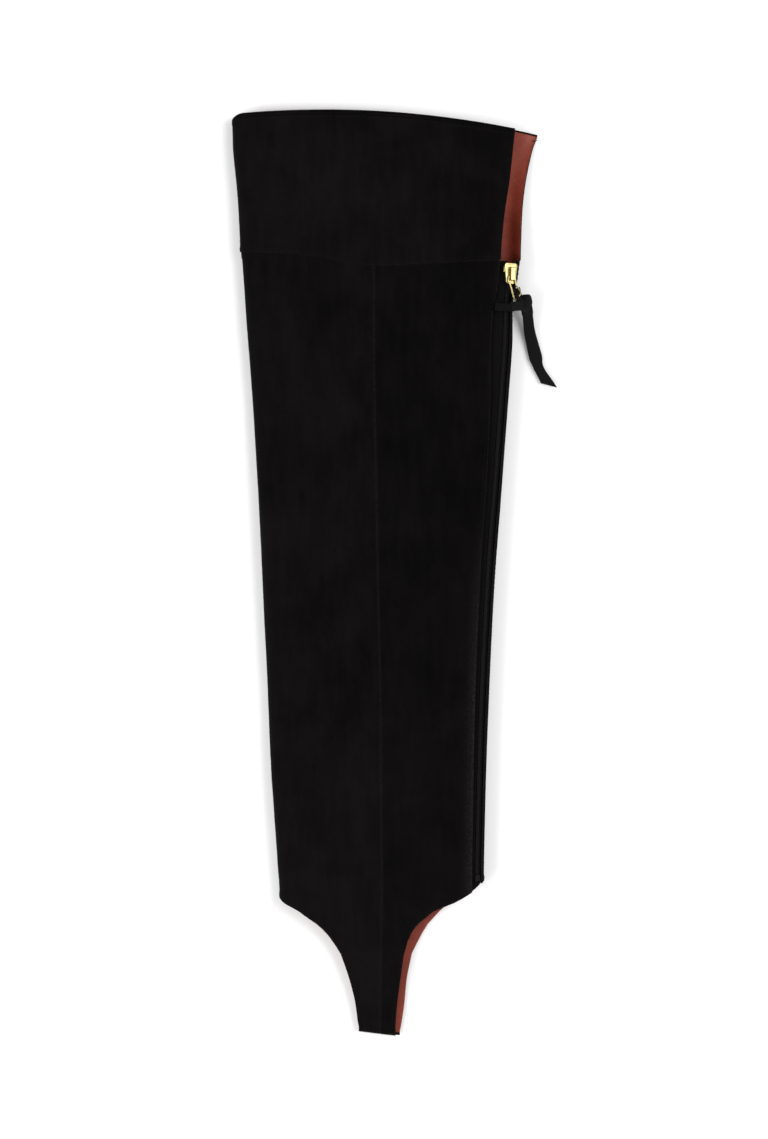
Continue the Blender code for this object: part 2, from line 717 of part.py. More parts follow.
def make_slider(frame):
    """Slider with its two plates, the post between them, side flanges and the bridge."""
    top, foot, long = PLATE_HALF_TOP, PLATE_HALF_FOOT, PLATE_HALF_LONG
    outline = ((-foot, -long), (foot, -long), (top, long * 0.1), (top, long * 0.75),
               (top * 0.55, long), (-top * 0.55, long), (-top, long * 0.75), (-top, long * 0.1))
    plate = slab(outline, PLATE_LOW, PLATE_HIGH, "zip_slider")
    overlap = 0.2
    back = box(-BACK_HALF, BACK_HALF, -long + 2.0, POST_HEAD, BACK_LOW, BACK_HIGH, "back")
    post = box(-POST_HALF, POST_HALF, POST_FOOT, POST_HEAD, BACK_HIGH - overlap, PLATE_LOW + overlap, "post")
    flanges = []
    for side in (-1, 1):
        shape = ((side * (top - FLANGE_THICK), long * 0.1), (side * top, long * 0.1),
                 (side * top, long * 0.7), (side * (top - FLANGE_THICK), long * 0.7))
        if side < 0:
            shape = tuple(reversed(shape))
        flanges.append(slab(shape, FLANGE_LOW, PLATE_LOW + overlap, "flange"))
    legs = [box(-BRIDGE_HALF, BRIDGE_HALF, y, y + BRIDGE_WALL, PLATE_HIGH - overlap,
                BRIDGE_HIGH - BRIDGE_ROOF + overlap, "leg")
            for y in (BRIDGE_FOOT, BRIDGE_HEAD - BRIDGE_WALL)]
    roof = box(-BRIDGE_HALF, BRIDGE_HALF, BRIDGE_FOOT, BRIDGE_HEAD, BRIDGE_HIGH - BRIDGE_ROOF,
               BRIDGE_HIGH, "roof")
    join_solids(plate, [back, post, *flanges, *legs, roof])
    plate.data.transform(frame)
    plate.data.transform(Matrix.Scale(MM, 4))
    return plate


def smooth_route(points, steps, closed=False):
    """Points on a smooth curve through a route's own points."""
    count = len(points)
    spans = count if closed else count - 1
    route = []
    for span in range(spans):
        picks = [span - 1, span, span + 1, span + 2]
        if closed:
            a, b, c, d = (Vector(points[i % count]) for i in picks)
        else:
            a, b, c, d = (Vector(points[min(count - 1, max(0, i))]) for i in picks)
        for step in range(steps):
            t = step / steps
            route.append(0.5 * (2 * b + (c - a) * t + (2 * a - 5 * b + 4 * c - d) * t**2
                                + (3 * b - a - 3 * c + d) * t**3))
    if not closed:
        route.append(Vector(points[-1]))
    return route


def make_pull_ring(frame, pull):
    """Closed ring of wire through the slider's eye."""
    data = bpy.data.curves.new("pull_ring", "CURVE")
    data.dimensions = "3D"
    data.bevel_depth = WIRE_RADIUS * MM
    data.bevel_resolution = 2
    data.materials.append(make_material(GOLD))
    route = smooth_route(RING, 4, closed=True)
    spline = data.splines.new("POLY")
    spline.points.add(len(route) - 1)
    spline.use_cyclic_u = True
    eye = pull.location
    for point, place in zip(spline.points, route):
        point.co = (*((frame @ place) * MM - eye), 1.0)
    ring = bpy.data.objects.new("pull_ring", data)
    bpy.context.scene.collection.objects.link(ring)
    ring.parent = pull
    return ring


def flat_strip(name, route, width, thick, pull, end_across=None, end_width=None, steps=3):
    """Flat strip with rounded edges swept along a route; its tip can be cut on the slant."""
    points = smooth_route(route, steps)
    mesh = bmesh.new()
    rings = []
    for i, point in enumerate(points):
        ahead = points[min(len(points) - 1, i + 1)] - points[max(0, i - 1)]
        across = ahead.cross(Vector((0.0, 0.0, 1.0))).normalized()
        half = width / 2
        if end_across and i == len(points) - 1:
            across, half = Vector(end_across), end_width / 2
        up = across.cross(ahead).normalized()
        shape = ((-1.0, 0.0), (-0.88, 0.5), (0.88, 0.5), (1.0, 0.0), (0.88, -0.5), (-0.88, -0.5))
        rings.append([mesh.verts.new((point + across * half * a + up * thick * b) * MM - pull.location)
                      for a, b in shape])
    for first, second in zip(rings, rings[1:]):
        for i in range(len(first)):
            after = (i + 1) % len(first)
            mesh.faces.new((first[i], first[after], second[after], second[i]))
    mesh.faces.new(rings[0])
    mesh.faces.new(list(reversed(rings[-1])))
    bmesh.ops.recalc_face_normals(mesh, faces=mesh.faces)
    strip = finish_mesh(mesh, name, THONG_BLACK)
    strip.parent = pull
    return strip


def make_knot(pull):
    mesh = bmesh.new()
    bmesh.ops.create_uvsphere(mesh, u_segments=16, v_segments=10, radius=1.0)
    bmesh.ops.scale(mesh, verts=mesh.verts, vec=KNOT_HALF)
    bmesh.ops.translate(mesh, verts=mesh.verts, vec=KNOT_CENTRE)
    bmesh.ops.scale(mesh, verts=mesh.verts, vec=(MM, MM, MM))
    bmesh.ops.translate(mesh, verts=mesh.verts, vec=-pull.location)
    knot = finish_mesh(mesh, "thong_knot", THONG_BLACK)
    knot.parent = pull
    return knot


def make_pull(frame):
    """Ring, knot and thong, parented to an empty on the eye that they swing about."""
    pull = bpy.data.objects.new("pull_axis", None)
    pull.location = (frame @ Vector((0.0, EYE_Y, EYE_Z))) * MM
    bpy.context.scene.collection.objects.link(pull)
    make_pull_ring(frame, pull)
    make_knot(pull)
    flat_strip("thong_end", END_ROUTE, END_WIDTH, END_THICK, pull)
    flat_strip("thong", TAIL_ROUTE, THONG_WIDTH, THONG_THICK, pull, (-1.0, 0.0, 0.0), TIP_WIDTH)


def main():
    clear_scene()
    make_leg()
    make_leg_lining()
    make_band()
    make_zip()
    frame = slider_frame()
    make_slider(frame)
    make_pull(frame)


main()
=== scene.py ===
"""Dresses the over-the-knee gaiter: suede panels, leather lining, zip, gold slider and thong.

The gaiter lies flat on a pale floor, near side up. +Y runs from the foot to the thigh, +X from the
front of the leg to its back. Tables and sizes are in millimetres and become metres in each mesh.
"""
import json
import math
from collections import namedtuple

import bpy
import bmesh
from bpy.props import FloatProperty, FloatVectorProperty, PointerProperty
from mathutils import Matrix, Vector, noise

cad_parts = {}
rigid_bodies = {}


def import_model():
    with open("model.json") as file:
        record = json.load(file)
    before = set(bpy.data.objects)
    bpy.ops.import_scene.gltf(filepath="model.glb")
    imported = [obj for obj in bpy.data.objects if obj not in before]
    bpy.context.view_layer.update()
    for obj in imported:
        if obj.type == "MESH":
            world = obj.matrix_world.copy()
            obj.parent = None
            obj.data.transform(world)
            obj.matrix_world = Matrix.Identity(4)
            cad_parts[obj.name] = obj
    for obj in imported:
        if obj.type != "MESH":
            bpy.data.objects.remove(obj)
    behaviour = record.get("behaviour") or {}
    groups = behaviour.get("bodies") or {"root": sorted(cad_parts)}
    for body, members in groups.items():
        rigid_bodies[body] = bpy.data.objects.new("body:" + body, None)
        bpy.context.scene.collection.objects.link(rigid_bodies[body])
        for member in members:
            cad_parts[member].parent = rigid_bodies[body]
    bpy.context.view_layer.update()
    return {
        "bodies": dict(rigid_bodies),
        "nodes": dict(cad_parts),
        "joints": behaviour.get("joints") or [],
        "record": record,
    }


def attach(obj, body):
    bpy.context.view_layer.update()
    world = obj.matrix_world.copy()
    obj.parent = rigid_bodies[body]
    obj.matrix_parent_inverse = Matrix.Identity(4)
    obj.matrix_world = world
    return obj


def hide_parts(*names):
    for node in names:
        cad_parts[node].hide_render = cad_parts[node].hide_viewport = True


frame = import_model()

bl_info = {
    "name": "Suede gaiter dresser",
    "version": (1, 0, 0),
    "blender": (4, 5, 0),
    "location": "3D View > Sidebar > Gaiter",
    "description": "Makes the cloth, zip, slider and thong of a flat-laid suede gaiter",
    "category": "Object",
}

MM = 0.001


def table(name, fields, *rows):
    """Rows of figures under named fields."""
    row_type = namedtuple(name, fields)
    return tuple(row_type(*row) for row in rows)


def edge_points(*points):
    return table("EdgePoint", "x y", *points)


# Layers, measured inwards from the outer surface
SUEDE = 1.3
BAND_SUEDE = 1.0
LINING = 1.0
GAP = 0.3
LAYER_GAP = 0.4
LINING_SLACK, SLACK_RUN = 1.3, 70.0

# Leg tube, one row for each cross-section: edges of the outline, depth of each fold, dip between
LEG = table(
    "LegRow", "y left right left_deep right_deep dip seam",
    (208.5, -93.0, 88.4, 15.6, 18.0, 4.2, -6.8),
    (190.0, -91.7, 86.0, 15.8, 18.0, 4.4, -6.8),
    (177.0, -90.7, 83.4, 16.0, 18.0, 4.6, -6.8),
    (151.0, -88.8, 83.3, 16.2, 18.0, 4.8, -6.8),
    (125.0, -86.8, 81.6, 16.4, 18.0, 5.0, -6.6),
    (73.0, -83.5, 77.7, 16.6, 18.0, 5.2, -5.6),
    (21.0, -80.9, 73.8, 16.6, 18.0, 5.2, -4.6),
    (-31.0, -78.3, 70.5, 16.4, 17.8, 5.0, -3.7),
    (-83.0, -75.7, 67.9, 16.2, 17.6, 4.8, -2.6),
    (-135.0, -73.5, 66.0, 16.0, 17.4, 4.6, -2.2),
    (-187.0, -69.9, 64.7, 15.8, 17.0, 4.4, -1.8),
    (-212.0, -67.9, 64.4, 15.6, 16.8, 4.3, -1.7),
    (-248.0, -67.9, 64.4, 15.2, 15.8, 4.3, -2.2),
    (-265.0, -67.9, 64.4, 13.6, 13.8, 4.3, -2.6),
    (-280.0, -67.9, 64.4, 11.9, 12.0, 4.3, -2.9),
    (-297.0, -67.9, 64.4, 10.5, 10.5, 4.3, -2.9),
)

# Band, open at the back: the far flap curls up by its angle as it nears the zip
BAND = table(
    "BandRow", "y left near_edge far_edge left_deep edge_high dip curl curl_radius",
    (302.0, -99.4, 86.4, 100.4, 14.0, 10.0, 2.0, 10.0, 12.0),
    (285.0, -98.8, 84.6, 99.8, 14.6, 11.0, 2.2, 20.0, 12.0),
    (275.0, -98.4, 83.5, 96.6, 15.0, 11.8, 2.4, 36.0, 11.5),
    (255.0, -96.5, 81.3, 92.2, 15.8, 13.6, 2.8, 58.0, 10.5),
    (235.0, -95.0, 78.2, 89.8, 16.4, 15.6, 3.2, 76.0, 9.8),
    (215.0, -94.0, 76.1, 88.8, 16.8, 17.6, 3.7, 96.0, 9.4),
    (199.0, -93.8, 75.1, 88.6, 17.0, 19.2, 4.2, 114.0, 9.2),
)

# Top edge of the band is an arc; its lower edge dips towards the side seam
TOP_PEAK_X, TOP_PEAK_Y, TOP_RADIUS = -36.0, 300.8, 595.0
TOP_FOLD_DROP = 2.6
BINDING_DEPTH, BINDING_PROUD = 4.6, 0.4
BAND_LOW_NEAR = edge_points(
    (-94.0, 208.3), (-46.5, 206.4), (-29.6, 202.2), (-4.2, 199.4), (34.1, 201.2), (75.0, 202.6))
BAND_LOW_FAR = edge_points(
    (-94.0, 208.3), (0.0, 203.5), (88.6, 202.6))

# Hem from the folds down to the root of the foot strap
HEM_NEAR = edge_points(
    (-67.9, -211.6), (-65.5, -214.2), (-56.2, -219.4), (-49.1, -224.6), (-41.9, -229.8),
    (-34.8, -237.6), (-28.3, -248.0))
HEM_FAR = edge_points(
    (-67.9, -211.6), (-64.5, -214.2), (-52.5, -219.4), (-44.6, -224.6), (-37.0, -229.8),
    (-29.9, -237.6), (-23.3, -248.0))
HEM_BACK_NEAR = edge_points(
    (12.7, -248.0), (15.9, -237.6), (20.5, -229.8), (26.3, -224.6), (31.5, -220.4), (38.7, -217.0),
    (46.5, -213.6), (57.2, -207.0), (64.4, -200.5))
HEM_BACK_FAR = edge_points(
    (17.9, -248.0), (23.1, -237.6), (27.6, -229.8), (32.2, -224.6), (37.0, -219.4), (40.5, -217.0),
    (46.5, -213.6), (57.2, -207.0), (64.4, -200.5))

# Foot strap, one row for each cross-section of its near and far halves
STRAP = table(
    "StrapRow", "y near_left near_right far_left far_right",
    (-248.0, -28.3, 12.7, -23.3, 17.9),
    (-263.6, -23.1, 10.4, -18.8, 14.6),
    (-279.2, -19.2, 8.3, -15.6, 12.9),
    (-292.2, -17.4, 7.2, -15.0, 10.8),
    (-300.0, -15.8, 7.6, -14.6, 9.0),
)
STRAP_ROOT_Y = -248.0
STRAP_ROLL_Y = -295.6
NEAR_ROLL, FAR_ROLL = 3.0, 2.9
STRAP_TILT, TILT_LEFT_X, TILT_RUN = 0.12, -15.0, 50.0
STRAP_STEP = 2.4
# The far side seam drifts back towards the foot: how far, from what height and over what run
FAR_DRIFT, DRIFT_FROM_Y, DRIFT_RUN = 4.5, -150.0, 90.0

# Zip, unrolled over the top of the back fold: near panel's edge, chain, far panel's edge
ZIP = table(
    "ZipRow", "y near_edge chain far_edge",
    (208.5, 75.1, 82.4, 88.6),
    (186.0, 73.5, 81.6, 87.4),
    (176.0, 71.3, 80.6, 84.6),
    (151.0, 69.0, 79.2, 82.6),
    (112.0, 68.6, 76.6, 79.9),
    (60.0, 66.3, 73.1, 76.4),
    (8.0, 62.7, 68.8, 72.1),
    (-83.0, 58.8, 64.0, 67.2),
    (-187.0, 56.9, 61.3, 64.5),
    (-212.0, 56.9, 61.3, 64.5),
)
ZIP_TOP_Y, ZIP_END_Y = 202.0, -200.0
STOP_LENGTH, STOP_HIGH, STOP_LOW = 4.0, 0.5, 3.0
TAPE_END_Y, TAPE_THICK, TAPE_UNDER, TAPE_SHORT = -198.5, 1.0, 5.0, 0.5
CHAIN_HALF, CHAIN_HIGH, CHAIN_LOW = 1.8, 1.1, 2.7
RIB_ASIDE, RIB_WIDTH, RIB_HIGH = 0.9, 0.5, 0.35
TOOTH_PITCH, TOOTH_ASIDE = 1.3, 0.62
ZIP_STEP = 2.5

# Slider, in its own axes: across the zip, along it, and out of the surface
SLIDER_Y = 193.7
PLATE_HALF_TOP, PLATE_HALF_FOOT, PLATE_HALF_LONG = 4.8, 3.3, 6.8
POST_FOOT = 2.2
WIRE_RADIUS = 0.55
RING = ((-2.3, -2.7, 1.5), (-1.4, -2.3, 1.5), (0.0, -2.3, 1.5), (1.4, -2.3, 1.5), (2.3, -2.7, 1.5),
        (3.6, -7.6, 1.6), (7.4, -12.0, 0.3), (5.9, -15.2, -0.2), (3.2, -16.8, 0.2), (-0.4, -9.0, 1.6),
        (-2.3, -5.0, 1.6))

# Leather thong: flat tail from the knot to its cut tip, and the short end across the zip
THONG_WIDTH, THONG_THICK = 7.0, 1.8
TAIL_ROUTE = ((92.9, 169.2, 8.2), (93.6, 163.0, 6.0), (94.5, 156.5, 3.6), (96.2, 149.5, 2.0),
              (98.2, 141.5, 1.5), (100.8, 132.6, 1.6), (107.0, 122.2, 2.2))
TAIL_TIP = (-0.95, 0.31, 0.0)
END_WIDTH, END_THICK = 5.0, 1.6
END_ROUTE = ((82.6, 171.7, 17.6), (79.5, 171.7, 18.6), (75.6, 171.8, 19.3), (71.4, 172.1, 19.5))
KNOT_CENTRE, KNOT_HALF = (91.1, 175.2, 10.9), (5.1, 5.9, 4.1)
WIND_WIDTH, WIND_THICK, WIND_POINTS = 3.8, 1.3, 96
# Strands of the tie: to the short end, under the ring, round its bar, and over the tail's start
STRANDS = table(
    "Strand", "name width thick centre route",
    ("strand_over", 6.2, 1.5, (87.0, 172.0, 0.0),
     ((92.6, 173.6, 12.9), (89.4, 173.0, 14.9), (86.0, 172.7, 16.3), (82.0, 172.0, 17.9))),
    ("strand_under", 5.8, 1.2, (78.0, 181.0, 2.0),
     ((89.0, 174.4, 10.6), (87.3, 177.6, 12.0), (86.3, 181.2, 13.0), (85.5, 184.3, 13.8))),
    ("strand_loop", 2.3, 1.2, (88.2, 178.8, 13.4),
     ((91.2, 176.6, 9.4), (88.6, 179.0, 10.4), (86.8, 180.9, 12.2), (85.8, 181.2, 14.8),
      (86.0, 179.6, 16.4), (87.1, 177.5, 16.0), (89.2, 176.0, 14.8), (91.6, 175.2, 13.6))),
    ("strand_sleeve", 7.7, 2.6, (92.4, 172.0, -20.0),
     ((91.9, 174.5, 11.2), (92.4, 171.4, 9.8), (92.95, 168.4, 7.9))),
)
TAIL_WIDTHS = table(
    "TailRow", "share width",
    (0.0, 7.0), (0.167, 7.0), (0.333, 7.3), (0.5, 7.9), (0.69, 8.7), (0.78, 6.9), (0.86, 6.4), (1.0, 7.6))

# Soft creases of the near side: ends of each one, half its width and its depth
CREASE = "Crease", "x0 y0 x1 y1 half_width depth"
CREASES = table(
    *CREASE,
    (8.8, 83.0, 45.8, 44.0, 9.0, 1.3),
    (10.0, 16.0, 45.8, -14.5, 9.0, 1.1),
    (34.0, -20.0, 34.0, -50.0, 8.0, 1.0),
    (25.0, -58.0, 25.0, -104.0, 11.0, 0.9),
    (-56.0, 90.0, -56.0, 45.0, 18.0, -0.7),
)
# Finer creases that only the cloth shows, the band's among them
FINE_CREASES = table(
    *CREASE,
    (22.0, 92.0, 52.0, 66.0, 4.0, 0.35),
    (14.0, 60.0, 40.0, 36.0, 3.5, -0.30),
    (16.0, 30.0, 50.0, 2.0, 4.0, 0.30),
    (20.0, -4.0, 44.0, -26.0, 3.5, -0.25),
    (40.0, -30.0, 38.0, -72.0, 4.0, 0.30),
    (-30.0, 150.0, -44.0, 96.0, 6.0, 0.35),
    (-22.0, -20.0, -34.0, -70.0, 7.0, 0.35),
    (-48.0, -120.0, -40.0, -172.0, 6.0, 0.30),
    (10.0, 170.0, 44.0, 150.0, 6.0, 0.35),
    (14.0, -150.0, 38.0, -186.0, 6.0, 0.35),
    (-14.0, -200.0, -22.0, -242.0, 5.0, 0.30),
    (-6.0, 238.0, 36.0, 246.0, 9.0, 0.45),
    (-64.0, 262.0, -36.0, 232.0, 8.0, 0.40),
    (44.0, 272.0, 66.0, 240.0, 7.0, 0.40),
    (-20.0, 280.0, 12.0, 270.0, 7.0, 0.30),
)
# Dents of the two folds, which run lengthwise: place round the fold, ends, width and depth
DENT = "Dent", "turn y0 y1 half_width depth"
FRONT_DENTS = table(
    *DENT,
    (0.28, 150.0, 84.0, 0.16, 0.5),
    (0.42, 60.0, -12.0, 0.14, 0.6),
    (0.30, -52.0, -104.0, 0.18, 0.5),
    (0.45, -128.0, -186.0, 0.15, 0.5),
)
BACK_DENTS = table(
    *DENT,
    (0.45, 120.0, 66.0, 0.18, 0.5),
    (0.35, 30.0, -40.0, 0.20, 0.5),
    (0.50, -84.0, -150.0, 0.18, 0.5),
)

# Camera: height that its view is measured at, and the point it looks straight down on, in metres
FOCUS_HEIGHT = 0.008
VIEW_CENTRE = (-0.0003, 0.00195)

# Soft lights: place and size in metres, share of the set power
LIGHTS = table("Light", "name place size share",
               ("light_left", (-1.6, -0.7, 1.4), 1.4, 1.15), ("light_right", (1.5, 0.3, 1.8), 1.6, 1.25))
# Floor: size and how far it lies under the cloth, in metres; height of the camera's sensor in mm
FLOOR_SIZE, FLOOR_DOWN, SENSOR = 8.0, 0.0003, 24.0

# Steps in from a rounded edge, and how far in the first even row or column lies
LIP_STEPS = (0.0, 0.07, 0.22, 0.45, 0.85, 1.6)
LIP_REACH = 3.0
FAR_AWAY = 1000.0
# Turned edges: how wide they stand out, and over what width they fade
TURNED_WIDTH, TURNED_FADE = 3.4, 1.6
# Scuffed nap: how wide it is along an edge. Painted highlight where the leg rolls over beside the zip: its
# width, the height it starts below and the run over which it comes in
WORN_WIDTH, ROLL_HIGHLIGHT, ROLL_FROM_Y, ROLL_RUN = 1.5, 9.0, 70.0, 170.0
# Seams: panels overlap a little; the band's lower edge is full and deeper, so no lining shows under it
SEAM_GAP = -0.06
SEAM_CLOSED, SEAM_ALLOWANCE, SEAM_RUN = 0.5, 0.35, 1.2
# Band: how thin its vent edge is pared and over what width, and how far from it the cloth hangs free
SKIVED, SKIVE_WIDTH, VENT_FREE = 0.38, 6.0, 20.0
# Binding that hooks over the rim, and how far the band's lining stays short of the vent and the rim
HOOK_DEPTH, LINING_INSET, LINING_DOWN = 0.9, 0.35, 1.25

# Where the search for each edge starts, in height, and how far the leg and the band reach down
LEG_TOP_GUESS, HEM_GUESS, RIM_GUESS, BAND_LOW_GUESS = 200.0, -215.0, 296.0, 204.0
LEG_LENGTH, BAND_LENGTH = 410, 96

# Soft waves of the cloth: their sizes, and how much of them is left where the far layer lies on the floor
LEG_WAVE, FINE_WAVE, BAND_WAVE = 34.0, 11.0, 30.0
FINE_SHARE, PRESSED_SHARE = 0.3, 0.3
WAVE_SHIFT = Vector((0.0, 0.0, 80.0))

# Sewing thread: its width, how far the floor presses it in where the cloth faces down, and its lines:
# step of the columns, distances in from the edges, height over the cloth, and ends beside the zip
THREAD_WIDTH, PRESSED, FACES_FLOOR = 0.55, 0.26, -0.7
SEWN_STEP, SEWN_SIDE, SEWN_HEM, SEWN_BAND, SEWN_BINDING, SEWN_OUT = 4.0, 2.2, 2.4, 2.3, 1.1, 0.4
SEWN_TOP_Y, SEWN_FOOT_Y = 199.0, -200.5
# Grain of the swept strips and the ring, and the angle above which metal keeps a sharp edge
ROUTE_STEPS, STRIP_CORNERS = 8, 4
SHARP_DEGREES = 38.0


# Settings

def colour_setting(name, description, default):
    return FloatVectorProperty(name=name, description=description, subtype="COLOR", size=3, min=0.0, max=1.0,
                               default=default)


def size_setting(name, description, low, high, default, unit="NONE"):
    return FloatProperty(name=name, description=description, min=low, max=high, default=default, unit=unit)


class GaiterCloth(bpy.types.PropertyGroup):
    """Colours and grid of the suede and its lining."""
    suede: colour_setting("Suede", "Colour of the suede", (0.0033, 0.0028, 0.0029))
    lining: colour_setting("Lining", "Colour of the leather lining", (0.180, 0.029, 0.015))
    grid: size_setting("Grid", "Distance between the rows of the cloth, in mm", 1.5, 12.0, 2.6)
    turned: size_setting("Turned edge", "Height of a turned edge, in mm", 0.0, 1.0, 0.42)
    ripple: size_setting("Ripple", "Height of the cloth's soft unevenness, in mm", 0.0, 1.0, 0.22)


class GaiterTrim(bpy.types.PropertyGroup):
    """Colours and sizes of the zip, the slider, the thong and the thread."""
    gold: colour_setting("Gold", "Colour of the slider and its ring", (0.47, 0.39, 0.18))
    tape: colour_setting("Zip tape", "Colour of the zip's tape", (0.0030, 0.0026, 0.0027))
    thong: colour_setting("Thong", "Colour of the leather thong", (0.0034, 0.0033, 0.0035))
    thread: colour_setting("Thread", "Colour of the sewing thread", (0.0030, 0.0027, 0.0027))
    stitch: size_setting("Stitch", "Length of a stitch, in mm", 1.0, 6.0, 2.3)
    stitch_gap: size_setting("Stitch gap", "Gap between two stitches, in mm", 0.2, 3.0, 0.8)


class GaiterStage(bpy.types.PropertyGroup):
    """Floor, lights and camera."""
    floor: colour_setting("Floor", "Colour of the floor", (0.93, 0.93, 0.93))
    height: size_setting("Camera height", "Height of the camera over the floor", 0.5, 10.0, 2.6, "LENGTH")
    view_height: size_setting("View height", "Length of floor in the view", 0.1, 5.0, 0.7404, "LENGTH")
    light: size_setting("Light", "Power of the two soft lights", 0.0, 500.0, 34.0, "POWER")
    sky: size_setting("Sky", "Strength of the even light from all round", 0.0, 5.0, 0.55)


# Curves and sections

def mix(a, b, share):
    return a + (b - a) * share


def smooth_step(value):
    value = min(1.0, max(0.0, value))
    return value * value * (3.0 - 2.0 * value)


class Curve:
    """Smooth curve through one field of a table over another, held level past both ends."""

    def __init__(self, rows, key, field):
        pairs = sorted((getattr(row, key), getattr(row, field)) for row in rows)
        self.at = [pair[0] for pair in pairs]
        self.level = [pair[1] for pair in pairs]
        last = len(pairs) - 1
        self.slope = []
        for i in range(len(pairs)):
            before, after = max(0, i - 1), min(last, i + 1)
            self.slope.append((self.level[after] - self.level[before]) / (self.at[after] - self.at[before]))

    def __call__(self, value):
        if value <= self.at[0]:
            return self.level[0]
        if value >= self.at[-1]:
            return self.level[-1]
        i = max(k for k in range(len(self.at) - 1) if self.at[k] <= value)
        span = self.at[i + 1] - self.at[i]
        t = (value - self.at[i]) / span
        start, end = self.slope[i] * span, self.slope[i + 1] * span
        return ((2 * t**3 - 3 * t**2 + 1) * self.level[i] + (t**3 - 2 * t**2 + t) * start
                + (3 * t**2 - 2 * t**3) * self.level[i + 1] + (t**3 - t**2) * end)


def curves(rows, key, fields):
    return {field: Curve(rows, key, field) for field in fields.split()}


LEG_CURVES = curves(LEG, "y", "left right left_deep right_deep dip seam")
BAND_CURVES = curves(BAND, "y", "left near_edge far_edge left_deep edge_high dip curl curl_radius")
STRAP_CURVES = curves(STRAP, "y", "near_left near_right far_left far_right")
ZIP_CURVES = curves(ZIP, "y", "near_edge chain far_edge")


def crease_drop(creases, x, y):
    """How far the creases lower the near side at a point."""
    drop = 0.0
    for crease in creases:
        along = Vector((crease.x1 - crease.x0, crease.y1 - crease.y0))
        away = Vector((x - crease.x0, y - crease.y0))
        share = min(1.0, max(0.0, away.dot(along) / along.length_squared))
        distance = (away - along * share).length / crease.half_width
        if distance < 3.0:
            drop += crease.depth * math.exp(-distance**2)
    return drop


def dent_drop(dents, turn, y):
    """How far the dents of a fold push it in, at a turn round it."""
    drop = 0.0
    for dent in dents:
        middle, half = (dent.y0 + dent.y1) / 2, abs(dent.y1 - dent.y0) / 2
        reach = ((turn - dent.turn) / dent.half_width) ** 2 + ((y - middle) / half) ** 2
        drop += dent.depth * math.exp(-reach)
    return drop


def ripple(point, size, height):
    """Soft uneven wave of the cloth, about size mm across."""
    return height * noise.noise(point / size)


def plateau(share):
    """1 over the middle of a run, fading to 0 at both its ends."""
    return smooth_step(share / 0.3) * smooth_step((1 - share) / 0.3)


class Section:
    """Outer outline at one height: a near layer that bends round the front fold at its left."""

    def over(self, x, depth):
        slope = self.near_height(x + 0.5) - self.near_height(x - 0.5)
        normal = Vector((-slope, 0.0, 1.0)).normalized()
        return Vector((x, self.y, self.near_height(x))) - normal * depth

    def left_bend(self, angle, depth):
        reach = self.left_radius - depth
        return Vector((self.left_flat - reach * math.sin(angle), self.y,
                       self.left_radius + reach * math.cos(angle)))


class LegSection(Section):
    """Outline of the leg tube at one height, and points at a depth inside it."""

    def __init__(self, y, creased=True):
        self.y = y
        self.creased = creased
        self.left_radius = LEG_CURVES["left_deep"](y) / 2
        self.right_radius = LEG_CURVES["right_deep"](y) / 2
        self.dip = LEG_CURVES["dip"](y)
        self.left_flat = LEG_CURVES["left"](y) + self.left_radius
        self.right_flat = LEG_CURVES["right"](y) - self.right_radius

    def share(self, x):
        return (x - self.left_flat) / (self.right_flat - self.left_flat)

    def middle(self, x):
        """1 over the middle of the near layer, fading to 0 at both folds."""
        return plateau(self.share(x))

    def near_height(self, x):
        """Height of the near layer; only the suede creases, over a lining that hangs level."""
        middle = self.middle(x)
        if self.creased:
            drop = crease_drop(CREASES, x, self.y) * middle
        else:
            drop = LINING_SLACK * middle * smooth_step((self.y - STRAP_ROLL_Y) / SLACK_RUN)
        return mix(2 * self.left_radius, 2 * self.right_radius, self.share(x)) - self.dip * middle - drop

    def over(self, x, depth):
        """Point of the near layer; past a fold's start, x is measured along the bend."""
        if x > self.right_flat:
            angle = (x - self.right_flat) / self.right_radius
            reach = self.right_radius - depth
            return Vector((self.right_flat + reach * math.sin(angle), self.y,
                           self.right_radius + reach * math.cos(angle)))
        if x < self.left_flat:
            return self.left_bend((self.left_flat - x) / self.left_radius, depth)
        return super().over(x, depth)

    def under(self, x, depth):
        return Vector((x, self.y, depth))


class BandSection(Section):
    """Outline of the band at one height, open at the back."""

    def __init__(self, y):
        self.y = y
        self.near_edge = BAND_CURVES["near_edge"](y)
        self.left_radius = BAND_CURVES["left_deep"](y) / 2
        self.edge_high = BAND_CURVES["edge_high"](y)
        self.dip = BAND_CURVES["dip"](y)
        self.curl = math.radians(BAND_CURVES["curl"](y))
        self.curl_radius = BAND_CURVES["curl_radius"](y)
        reach = self.curl_radius * math.sin(min(self.curl, math.pi / 2))
        self.left_flat = BAND_CURVES["left"](y) + self.left_radius
        self.curl_start = BAND_CURVES["far_edge"](y) - reach
        self.far_length = self.curl_start - self.left_flat + self.curl * self.curl_radius

    def near_height(self, x):
        share = (x - self.left_flat) / (self.near_edge - self.left_flat)
        return mix(2 * self.left_radius, self.edge_high, share) - self.dip * plateau(share)

    def far(self, run, depth):
        """Point of the far layer at a run from the front fold, flat and then curling up."""
        x = self.left_flat + run
        if x <= self.curl_start:
            return Vector((x, self.y, depth))
        angle = (x - self.curl_start) / self.curl_radius
        reach = self.curl_radius - depth
        return Vector((self.curl_start + reach * math.sin(angle), self.y,
                       self.curl_radius - reach * math.cos(angle)))


# Walls of cloth

def lip(distance, radius):
    """How far a rounded edge falls away at a distance from it."""
    if distance >= radius:
        return 0.0
    across = 1.0 - max(0.0, distance) / radius
    return radius * (1.0 - math.sqrt(1.0 - across * across))


def turned(distance, height):
    """Height of a turned edge at a distance from it."""
    return height * (1.0 - smooth_step((distance - TURNED_WIDTH) / TURNED_FADE))


